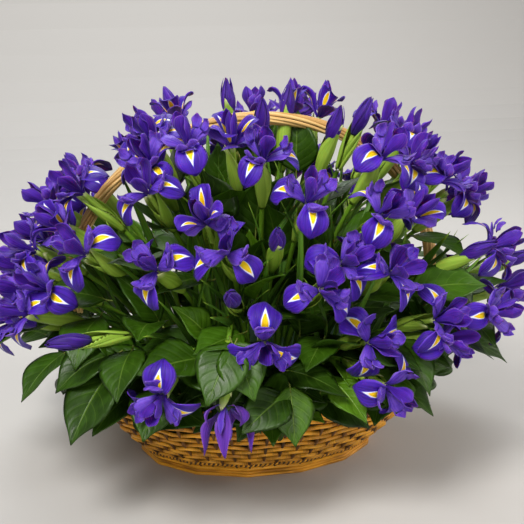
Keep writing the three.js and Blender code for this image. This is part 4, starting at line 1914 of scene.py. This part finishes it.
@dataclass
class Flowers:
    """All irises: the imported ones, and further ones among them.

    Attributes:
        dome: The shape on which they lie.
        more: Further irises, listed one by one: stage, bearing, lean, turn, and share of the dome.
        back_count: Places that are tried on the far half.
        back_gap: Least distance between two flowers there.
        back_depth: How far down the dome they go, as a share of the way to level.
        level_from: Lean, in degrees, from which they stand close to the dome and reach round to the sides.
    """

    dome: Dome
    more: tuple = (
        (Stage.HALF, -27, 36, 80, 0.98), (Stage.HALF, -25, 19, 10, 0.96), (Stage.OPEN, -54, 28, 60, 0.97),
        (Stage.OPEN, -75, 22, 30, 0.95), (Stage.OPEN, -92, 43, 10, 0.97), (Stage.HALF, -75, 44, 0, 0.95),
        (Stage.OPEN, -92, 57, 50, 0.98), (Stage.OPEN, -68, 55, 90, 0.97), (Stage.OPEN, -76, 58, 40, 1.0),
        (Stage.BUD, -18, 48, 0, 0.94), (Stage.BUD, -150, 8, 0, 0.93), (Stage.OPEN, 170, 14, 60, 0.91),
        (Stage.BUD, 100, 6, 0, 0.92), (Stage.HALF, 128, 10, 0, 0.92), (Stage.BUD, 28, 20, 0, 0.98),
        (Stage.BUD, -6, 38, 0, 0.95), (Stage.OPEN, 14, 42, 20, 0.95), (Stage.BUD, 62, 19, 40, 0.95),
        (Stage.OPEN, 56, 31, 60, 0.96), (Stage.OPEN, 76, 43, 30, 0.98), (Stage.HALF, 43, 38, 40, 0.93),
        (Stage.OPEN, 38, 62, 30, 0.97), (Stage.OPEN, 76, 64, 50, 1.0), (Stage.OPEN, 18, 58, 90, 0.96),
        (Stage.HALF, 90, 34, 70, 0.94),
    )
    back_count: int = 150
    back_gap: float = 0.074
    back_depth: float = 0.62
    level_from: float = 48.0

    def build(self, nodes: list) -> None:
        """Makes a piece for each packed iris and a few pieces that hold the others.

        Args:
            nodes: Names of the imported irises.
        """
        hearts = []
        for number, node in enumerate(nodes):
            finder = HeadFinder(node)
            heart, axis, fall = finder.head()
            hearts.append(heart)
            piece = Piece(node + "_flower", "iris", (node,))
            IrisStem(finder.stage, heart, axis, fall, finder.foot(), 100 + number).build(piece, self.dome)
            piece.make()
        groups = {}
        rows = [*self.more, *self.back_rows(hearts)]
        for number, (stage, bearing, lean, turn, reach) in enumerate(rows):
            heart = self.dome.place(bearing, lean, reach)
            side = f"{'back' if abs(bearing) > 90 else 'front'}_{'right' if bearing > 0 else 'left'}"
            key = f"more_irises_{side}_{'low' if lean > 40 else 'high'}"
            piece = groups.setdefault(key, Piece(key, "iris"))
            axis = self.dome.outward(heart)
            across = square_to(direction(bearing, lean + 90), axis)
            fall = turned_about(across[None], axis[None], np.array([math.radians(turn)]))[0]
            stem = IrisStem(stage, heart, axis, fall, self.dome.foot(heart), 300 + number)
            stem.build(piece, self.dome)
        for piece in groups.values():
            piece.make()

    def back_rows(self, hearts: list) -> list:
        """Irises on the far half, spread evenly and clear of those that are there.

        Args:
            hearts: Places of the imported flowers.

        Returns:
            Rows like those of more.
        """
        rng = np.random.default_rng(17)
        taken = [*hearts, *(self.dome.place(b, l, r) for _, b, l, _, r in self.more)]
        rows = []
        for number in range(self.back_count):
            bearing = (number * GOLDEN_TURN) % 360 - 180
            lean = math.degrees(math.acos(1 - self.back_depth * (number + 0.5) / self.back_count))
            low = lean >= self.level_from
            if abs(bearing) < (96 if low else 125):
                continue
            reach = rng.uniform(0.92, 0.98) if low else rng.uniform(0.84, 0.9)
            place = self.dome.place(bearing, lean, reach)
            if min(np.linalg.norm(place - other) for other in taken) < self.back_gap:
                continue
            taken.append(place)
            stage = rng.choice([Stage.OPEN, Stage.OPEN, Stage.OPEN, Stage.OPEN, Stage.HALF, Stage.BUD])
            rows.append((Stage(stage), bearing, lean, rng.uniform(0, 120), reach))
        return rows


@dataclass(frozen=True)
class Lamp:
    """A square soft light that faces the flowers.

    Attributes:
        name: Its name.
        place: Where it stands.
        size: Length of its side.
        power: Its power in watts.
        colour: Red, green and blue.
        aim: What it faces.
    """

    name: str
    place: tuple
    size: float
    power: float
    colour: tuple
    aim: tuple = (0.0, 0.0, 0.25)

    def make(self) -> None:
        """Hangs the light."""
        data = bpy.data.lights.new(self.name, "AREA")
        data.size = self.size
        data.energy = self.power
        data.color = self.colour
        made = bpy.data.objects.new(self.name, data)
        bpy.context.scene.collection.objects.link(made)
        made.location = self.place
        made.rotation_euler = (Vector(self.place) - Vector(self.aim)).to_track_quat("Z", "Y").to_euler()


@dataclass
class Studio:
    """Floor, soft light and camera.

    Attributes:
        azimuth: Degrees from the front at which the camera stands, with 90 towards +X.
        elevation: Degrees at which it looks down.
        distance: From the camera to its aim.
        lens: Focal length in millimetres.
        aim: What it looks at.
        lamps: The lights.
        sky: Colour of the light from all round.
        sky_strength: Strength of that light.
        paper: Colour of the floor.
        floor_half_width: Half width of the floor.
        floor_profile: Distance back and height of the floor and the backdrop behind it.
    """

    azimuth: float = -12.0
    elevation: float = 17.0
    distance: float = 1.65
    lens: float = 81.0
    aim: tuple = (0.007, 0.0, 0.270)
    lamps: tuple = (
        Lamp("key_light", (-1.1, -1.4, 2.2), 1.0, 74.0, (1.0, 0.98, 0.95)),
        Lamp("side_light", (1.9, -0.4, 1.3), 1.0, 24.0, (1.0, 0.94, 0.88)),
        Lamp("front_light", (0.2, -2.4, 0.7), 1.0, 12.0, (1.0, 0.96, 0.92)),
        Lamp("back_light", (0.2, 1.7, 2.0), 1.2, 34.0, (0.95, 0.98, 1.0)),
    )
    sky: tuple = (0.93, 0.94, 0.96, 1)
    sky_strength: float = 0.26
    paper: tuple = (0.52, 0.505, 0.485, 1)
    floor_half_width: float = 5.0
    floor_profile: tuple = ((-4, 0), (0, 0), (1.6, 0), (2.2, 0.25), (2.4, 1.2), (2.4, 4))

    def build(self) -> None:
        """Makes the stage."""
        self.floor()
        self.camera()
        for lamp in self.lamps:
            lamp.make()
        world = bpy.data.worlds.new("studio")
        world.use_nodes = True
        background = world.node_tree.nodes["Background"]
        background.inputs["Color"].default_value = self.sky
        background.inputs["Strength"].default_value = self.sky_strength
        bpy.context.scene.world = world
        bpy.context.scene.view_settings.view_transform = "Standard"

    def floor(self) -> None:
        """A plain pale floor that rises into a backdrop behind."""
        profile = smooth_line(self.floor_profile, 40)
        profile[:, 1] = profile[:, 1].clip(0)
        points = [(x, y, z) for y, z in profile for x in (-self.floor_half_width, self.floor_half_width)]
        faces = [(2 * i, 2 * i + 1, 2 * i + 3, 2 * i + 2) for i in range(len(profile) - 1)]
        mesh = bpy.data.meshes.new("floor")
        mesh.from_pydata(points, [], faces)
        paint = bpy.data.materials.new("floor_paper")
        paint.use_nodes = True
        shader = paint.node_tree.nodes["Principled BSDF"]
        shader.inputs["Base Color"].default_value = self.paper
        shader.inputs["Roughness"].default_value = 0.9
        mesh.materials.append(paint)
        floor = bpy.data.objects.new("floor", mesh)
        bpy.context.scene.collection.objects.link(floor)

    def camera(self) -> None:
        """A camera in front of the basket, a little to its left and above its rim."""
        data = bpy.data.cameras.new("camera")
        data.lens = self.lens
        made = bpy.data.objects.new("camera", data)
        bpy.context.scene.collection.objects.link(made)
        a, e = math.radians(self.azimuth), math.radians(self.elevation)
        back = Vector((math.sin(a) * math.cos(e), -math.cos(a) * math.cos(e), math.sin(e)))
        made.location = Vector(self.aim) + back * self.distance
        made.rotation_euler = back.to_track_quat("Z", "Y").to_euler()
        bpy.context.scene.camera = made


def dress(name: str, finish: Finish) -> None:
    """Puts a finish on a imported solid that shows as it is.

    Args:
        name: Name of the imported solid.
        finish: The finish.
    """
    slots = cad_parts[name].data.materials
    slots.clear()
    slots.append(finish.material())
    LOG.info("%s: finished", name)


def main() -> None:
    """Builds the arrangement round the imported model."""
    logging.basicConfig(level=logging.INFO, format="%(name)s: %(message)s")
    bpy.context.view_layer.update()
    names = sorted(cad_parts)
    BasketWork().build()
    dome = Dome(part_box("rim_border")[1].z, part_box("foam_middle")[1].z)
    Flowers(dome).build([name for name in names if name.startswith("iris_")])
    for number, name in enumerate(name for name in names if name.startswith("salal_")):
        SalalSprig(name, 500 + 10 * number).build()
    LooseLeaves(dome).build()
    dress("film_liner", FILM_FINISH)
    for name in names:
        if name.startswith("foam_"):
            dress(name, FOAM_FINISH)
    Studio().build()


if __name__ == "__main__":
    main()
